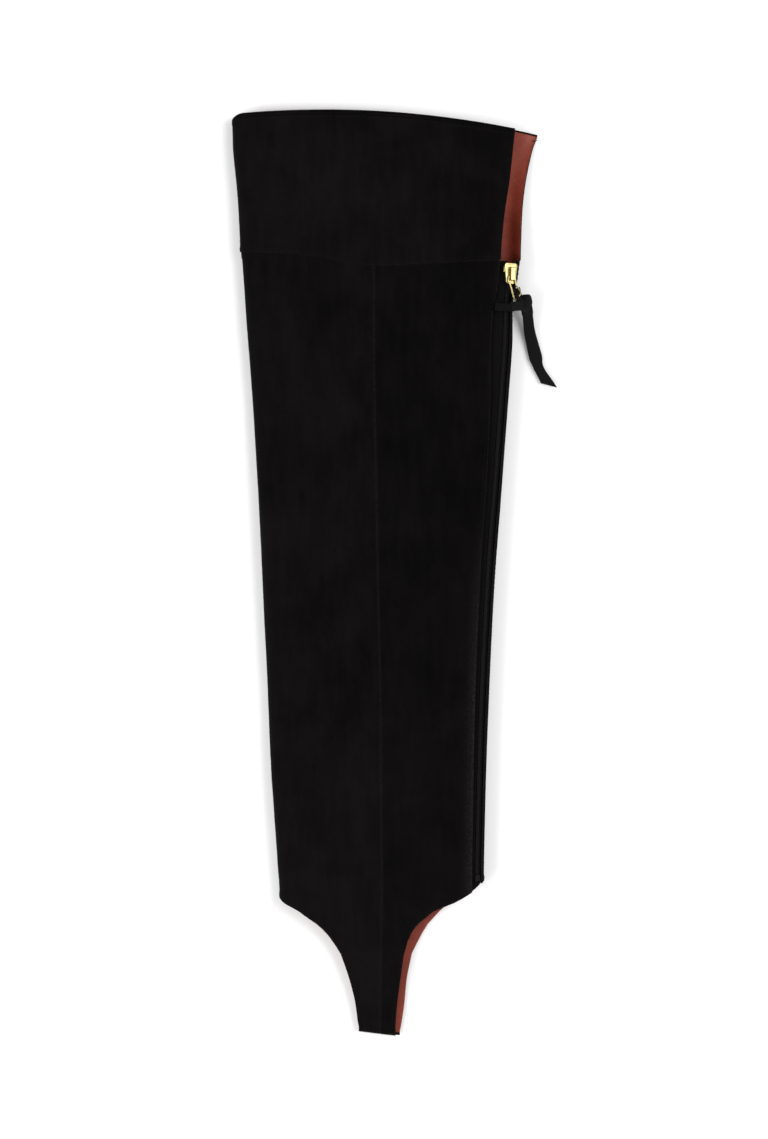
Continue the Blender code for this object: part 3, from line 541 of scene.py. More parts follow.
class Wall:
    """Closed wall built from quads of paired points, an outer and an inner one."""

    def __init__(self):
        self.outer = []
        self.inner = []
        self.wear = []
        self.quads = []

    def point(self, outer, inner, wear=0.0):
        """A pair of points, and how much lighter the cloth is there, for scuffed nap and for a painted
        highlight.
        """
        self.outer.append(outer * MM)
        self.inner.append(inner * MM)
        self.wear.append(wear)
        return len(self.outer) - 1

    def grid(self, rows):
        for first, second in zip(rows, rows[1:]):
            for i in range(len(first) - 1):
                self.quads.append((first[i], second[i], second[i + 1], first[i + 1]))

    def build(self, name, material):
        count = len(self.outer)
        faces = list(self.quads)
        faces += [tuple(i + count for i in reversed(quad)) for quad in self.quads]
        sides = set()
        for quad in self.quads:
            sides.update((quad[i], quad[(i + 1) % 4]) for i in range(4))
        faces += [(b, a, a + count, b + count) for a, b in sides if (b, a) not in sides]
        return finished_mesh(name, self.outer + self.inner, faces, material, self.wear * 2)


def finished_mesh(name, points, faces, material, wear=None):
    """Piece from points in metres, its faces turned outwards and shaded smooth."""
    data = bpy.data.meshes.new(name)
    data.from_pydata(points, [], faces)
    if wear:
        data.attributes.new("wear", "FLOAT", "POINT").data.foreach_set("value", wear)
    shape = bmesh.new()
    shape.from_mesh(data)
    bmesh.ops.recalc_face_normals(shape, faces=shape.faces)
    shape.to_mesh(data)
    shape.free()
    data.shade_smooth()
    data.materials.append(material)
    piece = bpy.data.objects.new(name, data)
    bpy.context.scene.collection.objects.link(piece)
    return piece


Column = namedtuple("Column", "place hem top in_strap side inset turn bend")


def edge_curve(points, distance=0.0):
    curve = Curve(points, "x", "y")
    return lambda x: curve(x) + distance


def moved(line, distance):
    return lambda y: line(y) + distance


def far_seam_x(y):
    """The far seam drifts back towards the foot, so the far strap shows past the near one."""
    return LEG_CURVES["seam"](y) + FAR_DRIFT * smooth_step((DRIFT_FROM_Y - y) / DRIFT_RUN)


def left_flat_x(y):
    return LegSection(y).left_flat


def right_flat_x(y):
    return LegSection(y).right_flat


def settle(place, edge, start_y):
    """Height at which a column meets an edge given over x."""
    y = start_y
    for _ in range(4):
        y = edge(place(y, 0.0).x)
    return y


def spread(start, end, step, from_edge, to_edge):
    """Places across a run as (share, shift in mm), closer together beside a free edge."""
    run = abs(end - start)
    direction = 1.0 if end > start else -1.0
    count = max(2, round(run / step))
    places = []
    if from_edge:
        places += [(0.0, direction * shift) for shift in LIP_STEPS]
    for i in range(count + 1):
        share = i / count
        if from_edge and share * run < LIP_REACH - 0.4:
            continue
        if to_edge and (1.0 - share) * run < LIP_REACH - 0.4:
            continue
        places.append((share, 0.0))
    if to_edge:
        places += [(1.0, -direction * shift) for shift in reversed(LIP_STEPS)]
    return places


def leg_stretch(side, start, end, strap_field, hem, step, free_start=False, creased=True):
    """Columns from a fold or the zip to a side seam; the last ones run on down the strap."""
    hem_edge = edge_curve(hem)
    top_edge = edge_curve(BAND_LOW_NEAR if side == "near" else BAND_LOW_FAR, -SEAM_GAP)
    strap_edge = STRAP_CURVES[strap_field]
    start_root, edge_root, end_root = start(STRAP_ROOT_Y), strap_edge(STRAP_ROOT_Y), end(STRAP_ROOT_Y)
    root = (edge_root - start_root) / (end_root - start_root)

    def column(share, shift, in_strap):
        def x_at(y):
            if in_strap and y < STRAP_ROOT_Y:
                return mix(strap_edge(y), end(y), (share - root) / (1 - root)) + shift
            return mix(start(y), end(y), share) + shift

        def place(y, depth):
            section = LegSection(y, creased)
            return section.over(x_at(y), depth) if side == "near" else section.under(x_at(y), depth)

        def inset(y):
            x = x_at(y)
            nearest = abs(x - end(y))
            if in_strap and y < STRAP_ROOT_Y:
                return min(nearest, abs(x - strap_edge(y)))
            if free_start:
                nearest = min(nearest, abs(x - start(y)))
            if in_strap:
                nearest = min(nearest, math.hypot(x - edge_root, y - STRAP_ROOT_Y))
            return nearest

        return Column(place, hem_edge, top_edge, in_strap, side, inset, None, None)

    outside = spread(start(0.0), mix(start(0.0), end(0.0), root), step, free_start, False)
    inside = spread(edge_root, end_root, step, True, True)
    return [column(share * root, shift, False) for share, shift in outside[:-1]] + [
        column(mix(root, 1.0, share), shift, True) for share, shift in inside]


def front_bend(count):
    """Columns round the front fold, from the near layer down to the far one."""
    def bend(turn):
        return lambda y, depth: LegSection(y).left_bend(turn * math.pi, depth)
    hem, top = edge_curve(HEM_NEAR), edge_curve(BAND_LOW_NEAR, -SEAM_GAP)
    return [Column(bend(i / count), hem, top, False, "near", lambda y: FAR_AWAY, i / count, "front")
            for i in range(1, count)]


def back_bend(edge, step):
    """Columns round the back fold, from an edge beside the zip down to the far layer."""
    def flat(y):
        section = LegSection(y)
        return section.right_flat + math.pi * section.right_radius

    def bend(share, shift):
        return lambda y, depth: LegSection(y).over(mix(edge(y), flat(y), share) + shift, depth)

    def inset(share, shift):
        return lambda y: share * (flat(y) - edge(y)) + shift

    hem, top = edge_curve(HEM_BACK_FAR), edge_curve(BAND_LOW_FAR, -SEAM_GAP)
    places = spread(edge(0.0), flat(0.0), step, True, False)[:-1]
    return [Column(bend(*place), hem, top, False, "far", inset(*place), place[0], "back")
            for place in places]


def strap_tilt(point):
    """The foot of the strap hangs a little lower towards the back."""
    low = smooth_step((STRAP_ROOT_Y - point.y) / TILT_RUN)
    return Vector((point.x, point.y - STRAP_TILT * (point.x - TILT_LEFT_X) * low, point.z))


def rolled(column, turn, depth):
    """Point where a strap end rolls round under the foot towards its seam."""
    base = column.place(STRAP_ROLL_Y, 0.0)
    if column.side == "near":
        reach = NEAR_ROLL - depth
        height = base.z - NEAR_ROLL + reach * math.cos(turn)
    else:
        reach = FAR_ROLL - depth
        height = FAR_ROLL - reach * math.cos(turn)
    return strap_tilt(Vector((base.x, base.y - reach * math.sin(turn), height)))


def strap_runs(columns):
    """Runs of neighbouring columns that belong to a strap half."""
    runs = []
    for i, column in enumerate(columns):
        if not column.in_strap:
            continue
        if runs and runs[-1][-1] == i - 1:
            runs[-1].append(i)
        else:
            runs.append([i])
    return runs


def row_steps(count):
    """Steps down a column as (share, shift in mm), closer together at both ends."""
    steps = [(0.0, shift) for shift in LIP_STEPS]
    steps += [(i / count, 0.0) for i in range(1, count)]
    steps += [(1.0, -shift) for shift in reversed(LIP_STEPS)]
    return steps


Layer = namedtuple("Layer", "outer inner lip ripple turned")


def wear_and_highlight_fade(distance, width, share):
    """How much lighter the cloth is at a distance in mm from an edge, for scuffed nap and for a painted
    highlight.
    """
    return share * max(0.0, 1.0 - distance / width) ** 2


def leg_wear_and_highlight(column, y, near_edge):
    """Lighter nap of the leg: scuffed thinly along its cut edges, and a wide painted highlight where it rolls
    over beside the zip, lower down the leg.
    """
    wear = wear_and_highlight_fade(near_edge, WORN_WIDTH, 0.5)
    if column.side == "near":
        aside = ZIP_CURVES["near_edge"](y) - column.place(y, 0.0).x
        # Painted highlight: the near panel is lighter near the zip, where it rolls over the back fold, fading
        # in towards the foot
        wear = max(wear, wear_and_highlight_fade(max(0.0, aside), ROLL_HIGHLIGHT, 1.0) * smooth_step((ROLL_FROM_Y - y) / ROLL_RUN))
    return wear


def leg_relief(layer, column, y, inset):
    """How far the leg's cloth stands out at a point, for its ripples, dents and turned edges."""
    point = column.place(y, 0.0)
    relief = ripple(point, LEG_WAVE, layer.ripple)
    relief += ripple(point + WAVE_SHIFT, FINE_WAVE, layer.ripple * FINE_SHARE)
    dented = 1.0 if layer.turned else 0.0
    if column.side == "far" and column.turn is None:
        return min(relief, 0.0) * PRESSED_SHARE
    if column.bend == "front":
        relief -= dent_drop(FRONT_DENTS, column.turn, y) * dented
    if column.bend == "back":
        relief = relief * 0.5 - dent_drop(BACK_DENTS, column.turn, y) * dented
    if column.side == "near" and column.turn is None and layer.turned:
        relief -= crease_drop(FINE_CREASES, point.x, y) * LegSection(y).middle(point.x)
    return relief + turned(inset, layer.turned)


def leg_wall(name, material, columns, layer, rows):
    """Wall of the leg tube over a run of columns, with the strap halves that hang from it."""
    wall = Wall()

    def add(column, y, end_distance, shape=None):
        inset = column.inset(y)
        near_edge = min(inset, end_distance)
        relief = leg_relief(layer, column, y, near_edge)
        outer = layer.outer + lip(near_edge, layer.lip) - relief
        inner = layer.inner - lip(near_edge, layer.lip * 0.7) - relief
        wear = leg_wear_and_highlight(column, y, near_edge)
        if shape:
            return wall.point(shape(outer), shape(inner), wear)
        return wall.point(column.place(y, outer), column.place(y, inner), wear)

    ends = []
    for column in columns:
        top = settle(column.place, column.top, LEG_TOP_GUESS)
        low = STRAP_ROOT_Y if column.in_strap else settle(column.place, column.hem, HEM_GUESS)
        x = column.place(low, 0.0).x
        slope = 0.0 if column.in_strap else column.hem(x + 0.5) - column.hem(x - 0.5)
        ends.append((top, low, 1.0 / math.hypot(1.0, slope)))
    grid = []
    for share, shift in row_steps(rows):
        line = []
        for column, (top, low, cosine) in zip(columns, ends):
            y = mix(top, low, share) - shift
            below = FAR_AWAY if column.in_strap else (y - low) * cosine
            line.append(add(column, y, min(top - y, below)))
        grid.append(line)
    wall.grid(grid)
    for run in strap_runs(columns):
        strap = [[grid[-1][i] for i in run]]
        steps = max(6, round((STRAP_ROOT_Y - STRAP_ROLL_Y) / STRAP_STEP))
        for step in range(1, steps + 1):
            y = mix(STRAP_ROOT_Y, STRAP_ROLL_Y, step / steps)
            strap.append([add(columns[i], y, FAR_AWAY,
                              lambda depth, i=i, y=y: strap_tilt(columns[i].place(y, depth)))
                          for i in run])
        for degrees in range(10, 91, 10):
            turn = math.radians(degrees)
            strap.append([add(columns[i], STRAP_ROLL_Y, math.radians(90 - degrees) * NEAR_ROLL,
                              lambda depth, i=i, turn=turn: rolled(columns[i], turn, depth))
                          for i in run])
        wall.grid(strap)
    return wall.build(name, material)


def near_front(gap, step, creased=True):
    return leg_stretch("near", left_flat_x, moved(LEG_CURVES["seam"], -gap), "near_left", HEM_NEAR, step,
                       creased=creased)


def far_front(gap, step):
    return leg_stretch("far", left_flat_x, moved(far_seam_x, -gap), "far_left", HEM_FAR, step)


def near_back(start, gap, step, creased=True):
    return leg_stretch("near", start, moved(LEG_CURVES["seam"], gap), "near_right", HEM_BACK_NEAR, step,
                       free_start=True, creased=creased)


def far_back(gap, step):
    return leg_stretch("far", right_flat_x, moved(far_seam_x, gap), "far_right", HEM_BACK_FAR, step)


# Band and binding

BandColumn = namedtuple("BandColumn", "place low bend_share proud inset")


def top_line(x, bend_share=0.0):
    """Top edge of the band, an arc, that drops where it bends round the front fold."""
    rise = math.sqrt(TOP_RADIUS**2 - (x - TOP_PEAK_X) ** 2) - TOP_RADIUS
    return TOP_PEAK_Y + rise - TOP_FOLD_DROP * math.sin(bend_share * math.pi) ** 2


def band_columns(inset, step):
    """Columns round the band, from the near vent edge to the far one, each inset short of it."""
    sample = BandSection(250.0)
    bend_count = max(8, round(math.pi * sample.left_radius / step))

    def near(share, shift):
        def place(y, depth):
            section = BandSection(y)
            return section.over(mix(section.near_edge - inset, section.left_flat, share) + shift, depth)
        return place

    def bend(turn):
        return lambda y, depth: BandSection(y).left_bend(turn * math.pi, depth)

    def far(share, shift):
        def place(y, depth):
            section = BandSection(y)
            return section.far(share * (section.far_length - inset) + shift, depth)
        return place

    def near_inset(share, shift):
        def read(y):
            section = BandSection(y)
            return share * (section.near_edge - inset - section.left_flat) - shift
        return read

    def far_inset(share, shift):
        return lambda y: (1.0 - share) * (BandSection(y).far_length - inset) - shift

    low_near, low_far = edge_curve(BAND_LOW_NEAR), edge_curve(BAND_LOW_FAR)
    columns = []
    for place in spread(sample.near_edge, sample.left_flat, step, True, False)[:-1]:
        columns.append(BandColumn(near(*place), low_near, 0.0, 1.0, near_inset(*place)))
    for i in range(bend_count):
        turn = i / bend_count
        proud = (1 + math.cos(turn * math.pi)) / 2
        columns.append(BandColumn(bend(turn), low_near, turn, proud, lambda y: FAR_AWAY))
    for place in spread(0.0, sample.far_length, step, False, True):
        columns.append(BandColumn(far(*place), low_far, 0.0, 0.0, far_inset(*place)))
    return columns


BandLayer = namedtuple("BandLayer", "outer inner lip top_lip ripple turned hook proud")


def skive(inset):
    """How thin the band is pared at a distance from its vent edge."""
    return mix(SKIVED, 1.0, smooth_step(inset / SKIVE_WIDTH))


def rim(column):
    """Height of the band's top edge at a column."""
    return settle(column.place, lambda x: top_line(x, column.bend_share), RIM_GUESS)


def band_low(column):
    """Height of the band's lower edge at a column."""
    return settle(column.place, column.low, BAND_LOW_GUESS)


def band_wall(name, material, columns, layer, down, depth_down, rows):
    """Wall of the band from a distance below its top edge, down to its low edge or by a depth."""
    wall = Wall()
    ends = []
    for column in columns:
        high = rim(column) - down
        ends.append((high, high - depth_down if depth_down else band_low(column)))
    grid = []
    for share, shift in row_steps(rows):
        line = []
        for column, (high, low) in zip(columns, ends):
            y = mix(high, low, share) - shift
            inset = column.inset(y)
            point = column.place(y, 0.0)
            relief = ripple(point, BAND_WAVE, layer.ripple) - crease_drop(FINE_CREASES, point.x, y) * (
                column.proud if layer.turned else 0.0)
            if column.proud == 0.0 and inset > VENT_FREE:
                relief = min(relief, 0.0) * PRESSED_SHARE
            relief += (layer.proud + turned(y - low, layer.turned)) * column.proud
            edge = min(inset, y - low)
            thin = skive(inset)
            fall = max(lip(edge, layer.lip), lip(high - y, layer.top_lip))
            inner = layer.hook if layer.hook and high - y < HOOK_DEPTH else layer.inner
            rise = max(lip(inset, layer.lip * 0.8), lip(high - y, layer.top_lip * 0.8))
            full = thin if y - low > SEAM_CLOSED else 1.0
            if layer.turned:
                inner += SEAM_ALLOWANCE * (1.0 - smooth_step((y - low) / SEAM_RUN))
            line.append(wall.point(column.place(y, (layer.outer + fall) * thin - relief),
                                   column.place(y, (inner - rise) * full - min(relief, 0.0)),
                                   wear_and_highlight_fade(min(edge, high - y), WORN_WIDTH, 0.15)))
        grid.append(line)
    wall.grid(grid)
    return wall.build(name, material)


# Zip

def zip_strip(name, material, edges, depths, ends, step, lip_radius, rib=0.0, slant=None):
    """Strip that follows the zip over the back fold, between two unrolled edges."""
    wall = Wall()
    left, right = edges
    outer, inner = depths
    rows = round((ends[0] - ends[1]) / step)
    places = spread(left(0.0), right(0.0), 1.0, True, True)
    grid = []
    for share, shift in row_steps(rows):
        line = []
        for across, aside in places:
            low = ends[1]
            for _ in range(3 if slant else 0):
                place = LegSection(low).over(mix(left(low), right(low), across) + aside, outer)
                low = slant(place.x) + TAPE_SHORT
            y = mix(ends[0], low, share) - shift
            section = LegSection(y)
            end = min(ends[0] - y, y - low)
            x = mix(left(y), right(y), across) + aside
            edge = min(x - left(y), right(y) - x)
            fall = lip(min(edge, end), lip_radius)
            raised = rib * math.exp(-((edge - RIB_ASIDE) / RIB_WIDTH) ** 2)
            line.append(wall.point(section.over(x, outer + fall - raised),
                                   section.over(x, inner - fall * 0.7)))
        grid.append(line)
    wall.grid(grid)
    return wall.build(name, material)


def axes_at(centre, ahead, out):
    """Axes at a point in mm: across a line, along it, and out of the surface that it lies on."""
    across = ahead.cross(out).normalized()
    return Matrix.Translation(centre) @ Matrix((across, out.cross(across), out)).transposed().to_4x4()


def zip_frame(y, depth, along_x=0.0):
    """Axes on the zip at a height: across it, along it, and out of the surface."""
    section = LegSection(y)
    x = ZIP_CURVES["chain"](y) + along_x
    centre = section.over(x, depth)
    out = (section.over(x, 0.0) - section.over(x, 1.0)).normalized()
    ahead = LegSection(y + 1.0).over(ZIP_CURVES["chain"](y + 1.0) + along_x, depth) - centre
    return axes_at(centre, ahead, out)


def slider_frame():
    """Axes of the slider: across the zip, along it, and out of the back fold's surface."""
    def chain_point(y, depth):
        return LegSection(y).over(ZIP_CURVES["chain"](y), depth)

    centre = chain_point(SLIDER_Y, 0.0)
    out = (centre - chain_point(SLIDER_Y, 1.0)).normalized()
    ahead = chain_point(SLIDER_Y + POST_FOOT, 0.0) - chain_point(SLIDER_Y - PLATE_HALF_LONG, 0.0)
    return axes_at(centre, ahead, out)


# Modelling by hand

def deselect():
    bpy.ops.object.select_all(action="DESELECT")


def activate(piece):
    """Selects just one piece and makes it the active one."""
    deselect()
    piece.select_set(True)
    bpy.context.view_layer.objects.active = piece


def block(name, low, high):
    """Block between two corners in mm, as the start of a piece, selected and active."""
    deselect()
    low, high = Vector(low) * MM, Vector(high) * MM
    bpy.ops.mesh.primitive_cube_add(size=1.0, location=(low + high) / 2, scale=high - low)
    bpy.ops.object.transform_apply(location=True, rotation=True, scale=True)
    piece = bpy.context.active_object
    piece.name = name
    return piece


def pick(piece, kind, test):
    """In edit mode, selects just the edges or just the faces that pass a test."""
    shape = bmesh.from_edit_mesh(piece.data)
    bpy.context.tool_settings.mesh_select_mode = (False, kind == "edges", kind == "faces")
    for part in (*shape.verts, *shape.edges, *shape.faces):
        part.select = False
    for part in getattr(shape, kind):
        if test(part):
            part.select_set(True)
    bmesh.update_edit_mesh(piece.data)


def pick_edges(piece, test):
    """Selects just the edges whose two ends, in mm, pass a test."""
    pick(piece, "edges", lambda edge: test(*(vert.co / MM for vert in edge.verts)))


def pick_faces(piece, test):
    """Selects just the faces whose middle, in mm, and normal pass a test."""
    pick(piece, "faces", lambda face: test(face.calc_center_median() / MM, face.normal))


def edit(piece):
    activate(piece)
    bpy.ops.object.mode_set(mode="EDIT")


def leave():
    bpy.ops.object.mode_set(mode="OBJECT")


def round_edges(piece, test, radius, segments):
    pick_edges(piece, test)
    bpy.ops.mesh.bevel(offset=radius * MM, offset_type="OFFSET", segments=segments, affect="EDGES",
                       clamp_overlap=True)


def soften(piece, radius, segments):
    """Rounds every edge of a block a little."""
    edit(piece)
    round_edges(piece, lambda a, b: True, radius, segments)
    leave()


def joined(name, pieces):
    """One object made of several, the first one's materials kept."""
    deselect()
    for piece in pieces:
        piece.select_set(True)
    bpy.context.view_layer.objects.active = pieces[0]
    bpy.ops.object.join()
    piece = bpy.context.active_object
    piece.name = name
    piece.data.name = name
    return piece


def set_down(piece, frame, material):
    """Moves a piece's mesh from its own axes, in metres, to a frame in mm, and finishes it."""
    place = frame.copy()
    place.translation = frame.translation * MM
    piece.data.transform(place)
    piece.data.materials.clear()
    piece.data.materials.append(material)
    activate(piece)
    bpy.ops.object.shade_smooth_by_angle(angle=math.radians(SHARP_DEGREES))
    return piece


def repeated(name, pattern, frames, material):
    """One mesh with a copy of the pattern's own mesh, in metres, at each frame in mm."""
    corners = [vert.co.copy() for vert in pattern.data.vertices]
    shapes = [tuple(face.vertices) for face in pattern.data.polygons]
    bpy.data.objects.remove(pattern, do_unlink=True)
    points, faces = [], []
    for frame in frames:
        start = len(points)
        turn, centre = frame.to_3x3(), frame.translation * MM
        points += [turn @ corner + centre for corner in corners]
        faces += [tuple(i + start for i in shape) for shape in shapes]
    return finished_mesh(name, points, faces, material)


# Slider and ring

def slider_plate():
    """Front plate: narrower at its foot, round corners, a rim round a sunk field."""
    top, foot, long = PLATE_HALF_TOP, PLATE_HALF_FOOT, PLATE_HALF_LONG
    plate = block("plate", (-top, -long, -0.6), (top, long, 0.6))
    edit(plate)
    pick_faces(plate, lambda middle, normal: normal.y < -0.9)
    bpy.ops.transform.resize(value=(foot / top, 1.0, 1.0), center_override=(0.0, -long * MM, 0.0))
    round_edges(plate, lambda a, b: abs(a.z - b.z) > 1.0, 1.9, 6)
    round_edges(plate, lambda a, b: min(a.z, b.z) > 0.55, 0.32, 3)
    round_edges(plate, lambda a, b: max(a.z, b.z) < -0.55, 0.2, 2)
    pick_faces(plate, lambda middle, normal: normal.z > 0.99 and middle.z > 0.55)
    bpy.ops.mesh.inset(thickness=0.75 * MM, depth=0.0)
    bpy.ops.mesh.inset(thickness=0.14 * MM, depth=-0.13 * MM)
    leave()
    return plate


def slider_bridge():
    """Bridge over the ring's eye: a roof on two legs with rounded shoulders."""
    bridge = block("bridge", (-1.3, -4.8, 2.3), (1.3, 4.2, 3.3))
    edit(bridge)
    for y in (-3.5, 2.9):
        pick_faces(bridge, lambda middle, normal: True)
        bpy.ops.mesh.bisect(plane_co=(0.0, y * MM, 0.0), plane_no=(0.0, 1.0, 0.0))
    pick_faces(bridge, lambda middle, normal: normal.z < -0.9 and not -3.5 < middle.y < 2.9)
    bpy.ops.mesh.extrude_region_move(TRANSFORM_OT_translate={"value": (0.0, 0.0, -1.9 * MM)})
    round_edges(bridge, lambda a, b: min(a.z, b.z) > 3.2 and abs(a.y - b.y) < 0.01
                and (a.y < -4.7 or a.y > 4.1), 1.2, 6)
    round_edges(bridge, lambda a, b: abs(a.x - b.x) < 0.01 and abs(a.x) > 1.2
                and (a - b).length > 0.05 and max(a.z, b.z) > 2.3
                and (a.z > 2.32 or b.z > 2.32 or abs(a.y) > 4.1), 0.3, 3)
    leave()
    return bridge


def build_slider(material):
    top, long = PLATE_HALF_TOP, PLATE_HALF_LONG
    parts = [slider_plate(), slider_bridge()]
    for side in (-1, 1):
        near, far = sorted((side * (top - 1.1), side * top))
        parts.append(block("flange", (near, long * 0.12, -1.6), (far, long * 0.68, -0.3)))
        soften(parts[-1], 0.28, 3)
    parts.append(block("back_plate", (-1.9, 2.0 - long, -4.8), (1.9, 5.6, -3.8)))
    soften(parts[-1], 0.3, 3)
    parts.append(block("post", (-1.3, POST_FOOT, -4.0), (1.3, 5.6, -0.4)))
    soften(parts[-1], 0.2, 2)
    return set_down(joined("gold_slider", parts), slider_frame(), material)


def smooth_route(points, steps, closed=False):
    """Points on a smooth curve through a route's own points."""
    count = len(points)
    route = []
    for span in range(count if closed else count - 1):
        picks = [span - 1, span, span + 1, span + 2]
        if closed:
            a, b, c, d = (Vector(points[i % count]) for i in picks)
        else:
            a, b, c, d = (Vector(points[min(count - 1, max(0, i))]) for i in picks)
        for step in range(steps):
            t = step / steps
            route.append(0.5 * (2 * b + (c - a) * t + (2 * a - 5 * b + 4 * c - d) * t**2
                                + (3 * b - a - 3 * c + d) * t**3))
    if not closed:
        route.append(Vector(points[-1]))
    return route


def build_ring(material):
    """Closed ring of round wire through the slider's eye."""
    frame = slider_frame()
    data = bpy.data.curves.new("gold_ring", "CURVE")
    data.dimensions = "3D"
    data.bevel_depth = WIRE_RADIUS * MM
    data.bevel_resolution = 5
    route = smooth_route(RING, ROUTE_STEPS, closed=True)
    spline = data.splines.new("POLY")
    spline.points.add(len(route) - 1)
    spline.use_cyclic_u = True
    for point, place in zip(spline.points, route):
        point.co = (*((frame @ place) * MM), 1.0)
    ring = bpy.data.objects.new("gold_ring", data)
    bpy.context.scene.collection.objects.link(ring)
    activate(ring)
    bpy.ops.object.convert(target="MESH")
    ring = bpy.context.active_object
    ring.data.materials.clear()
    ring.data.materials.append(material)
    ring.data.shade_smooth()
    return ring


# Thong

def strip_shape(half_width, half_thick):
    """Outline of a flat strip with rounded edges, as pairs across and up."""
    radius = min(half_thick * 0.8, half_width)
    outline = []
    for side_x, side_y, start in ((1, 1, 0), (-1, 1, 90), (-1, -1, 180), (1, -1, 270)):
        for step in range(STRIP_CORNERS + 1):
            angle = math.radians(start + 90 * step / STRIP_CORNERS)
            outline.append((side_x * (half_width - radius) + radius * math.cos(angle),
                            side_y * (half_thick - radius) + radius * math.sin(angle)))
    return outline


def strip_along(name, material, points, ups, width, thick, closed=False, tip=None):
    """Flat strip swept along points in mm, its flat side facing the ups."""
    rings, corners = [], []
    count = len(points)
    for i, point in enumerate(points):
        wide = width(i / (count - 1)) if callable(width) else width
        if closed:
            ahead = points[(i + 1) % count] - points[i - 1]
        else:
            ahead = points[min(count - 1, i + 1)] - points[max(0, i - 1)]
        across = ahead.cross(ups[i]).normalized()
        up = across.cross(ahead).normalized()
        uneven = 1.0 + 0.035 * noise.noise(point / 6.0)
        half = wide / 2 * uneven
        if tip and i > count - 4:
            share = (i - (count - 4)) / 3
            square = across
            across = across.lerp(Vector(tip), share).normalized()
            half /= across.dot(square)
        cup = 0.12 * thick
        ring = []
        for a, b in strip_shape(half, thick / 2):
            ring.append(len(corners))
            bow = cup * (abs(a) / half) ** 2 + 0.10 * noise.noise((point + across * a) / 2.5)
            corners.append((point + across * a + up * (b + bow)) * MM)
        rings.append(ring)
    faces = []
    pairs = list(zip(rings, rings[1:]))
    if closed:
        pairs.append((rings[-1], rings[0]))
    for first, second in pairs:
        for i in range(len(first)):
            after = (i + 1) % len(first)
            faces.append((first[i], first[after], second[after], second[i]))
    if not closed:
        faces.append(tuple(rings[0]))
        faces.append(tuple(reversed(rings[-1])))
    return finished_mesh(name, corners, faces, material)


def laid_strip(name, material, route, width, thick, tip=None):
    """Strip that lies flat side up along a route."""
    points = smooth_route(route, ROUTE_STEPS)
    return strip_along(name, material, points, [Vector((0.0, 0.0, 1.0))] * len(points), width, thick, tip=tip)


def strand(material, row):
    """Short flat strand of the tie, its flat side turned away from its centre."""
    points = smooth_route(row.route, ROUTE_STEPS)
    ups = [(point - Vector(row.centre)).normalized() for point in points]
    return strip_along(row.name, material, points, ups, row.width, row.thick)


def build_tie(material):
    """Knot of the thong: a strip wound over and under itself, looped through the ring."""
    centre, half = Vector(KNOT_CENTRE), Vector(KNOT_HALF)
    room = half - Vector((WIND_THICK, WIND_THICK, WIND_THICK)) * 0.55
    points = []
    for i in range(WIND_POINTS):
        t = math.tau * i / WIND_POINTS
        x, y = (math.sin(t) + 2 * math.sin(2 * t)) / 3, (math.cos(t) - 2 * math.cos(2 * t)) / 3
        z = 0.25 - 0.75 * math.sin(3 * t)
        points.append(centre + Vector((x * room.x, y * room.y, z * room.z)))
    ups = [(point - centre).normalized() + Vector((0.0, 0.0, 0.35)) for point in points]
    wind = strip_along("thong_wind", material, points, ups, WIND_WIDTH, WIND_THICK, closed=True)
    strands = [strand(material, row) for row in STRANDS]
    deselect()
    bpy.ops.mesh.primitive_uv_sphere_add(segments=32, ring_count=20, radius=1.0,
                                         location=centre * MM, scale=(half - Vector((0.3, 0.4, 0.3))) * MM)
    bpy.ops.object.transform_apply(location=True, rotation=True, scale=True)
    core = bpy.context.active_object
    for vert in core.data.vertices:
        place = vert.co / MM
        vert.co += (place - centre).normalized() * (noise.noise(place / 3.0) * 0.35 * MM)
    core.data.shade_smooth()
    core.data.materials.append(material)
    return joined("thong_tie", [wind, *strands, core])


# Stitches

def stitch_pattern(length, width):
    """One stitch: a short thread with sunk, rounded ends."""
    deselect()
    bpy.ops.mesh.primitive_cylinder_add(vertices=6, radius=width / 2 * MM, depth=length * MM,
                                        rotation=(math.pi / 2, 0.0, 0.0), end_fill_type="NGON")
    bpy.ops.object.transform_apply(location=True, rotation=True, scale=True)
    piece = bpy.context.active_object
    edit(piece)
    pick_faces(piece, lambda middle, normal: abs(normal.y) > 0.9)
    bpy.ops.mesh.inset(thickness=width * 0.25 * MM, depth=width * 0.2 * MM)
    pick_edges(piece, lambda a, b: abs(a.y - b.y) > length * 0.8)
    bpy.ops.mesh.subdivide(number_cuts=2)
    leave()
    for vert in piece.data.vertices:
        share = abs(vert.co.y / MM) / (length / 2)
        vert.co.z -= 0.5 * width * MM * share**2
    return piece


def sewn_frames(panel, line, pitch):
    """Frames of stitches along a line of points in mm, laid on the panel's surface."""
    frames = []
    walked, due = 0.0, pitch * 0.7
    for start, end in zip(line, line[1:]):
        step = (end - start).length
        while step > 0 and walked + step >= due:
            place = start.lerp(end, (due - walked) / step)
            found, spot, normal, _ = panel.closest_point_on_mesh(place * MM)
            if not found:
                raise RuntimeError(f"no surface for a stitch on {panel.name}")
            sunk = PRESSED if normal.z < FACES_FLOOR else 0.0
            centre = spot / MM - normal * sunk
            centre.z = max(centre.z, THREAD_WIDTH / 2)
            frames.append(axes_at(centre, (end - start).normalized(), normal))
            due += pitch
        walked += step
    return frames


def zip_line(edge, aside):
    """Points beside the zip, just over the cloth, from the top of its seam to the foot."""
    points = []
    steps = round(abs(SEWN_TOP_Y - SEWN_FOOT_Y) / 2.0)
    for i in range(steps + 1):
        y = mix(SEWN_TOP_Y, SEWN_FOOT_Y, i / steps)
        points.append(LegSection(y).over(edge(y) + aside, -0.6))
    return points


def hem_line(columns, rise):
    """Points a little above the hem, over the columns that end at it."""
    points = []
    for column in columns:
        if column.in_strap:
            continue
        low = settle(column.place, column.hem, HEM_GUESS)
        points.append(column.place(max(low, STRAP_ROOT_Y) + rise, -SEWN_OUT))
    return points


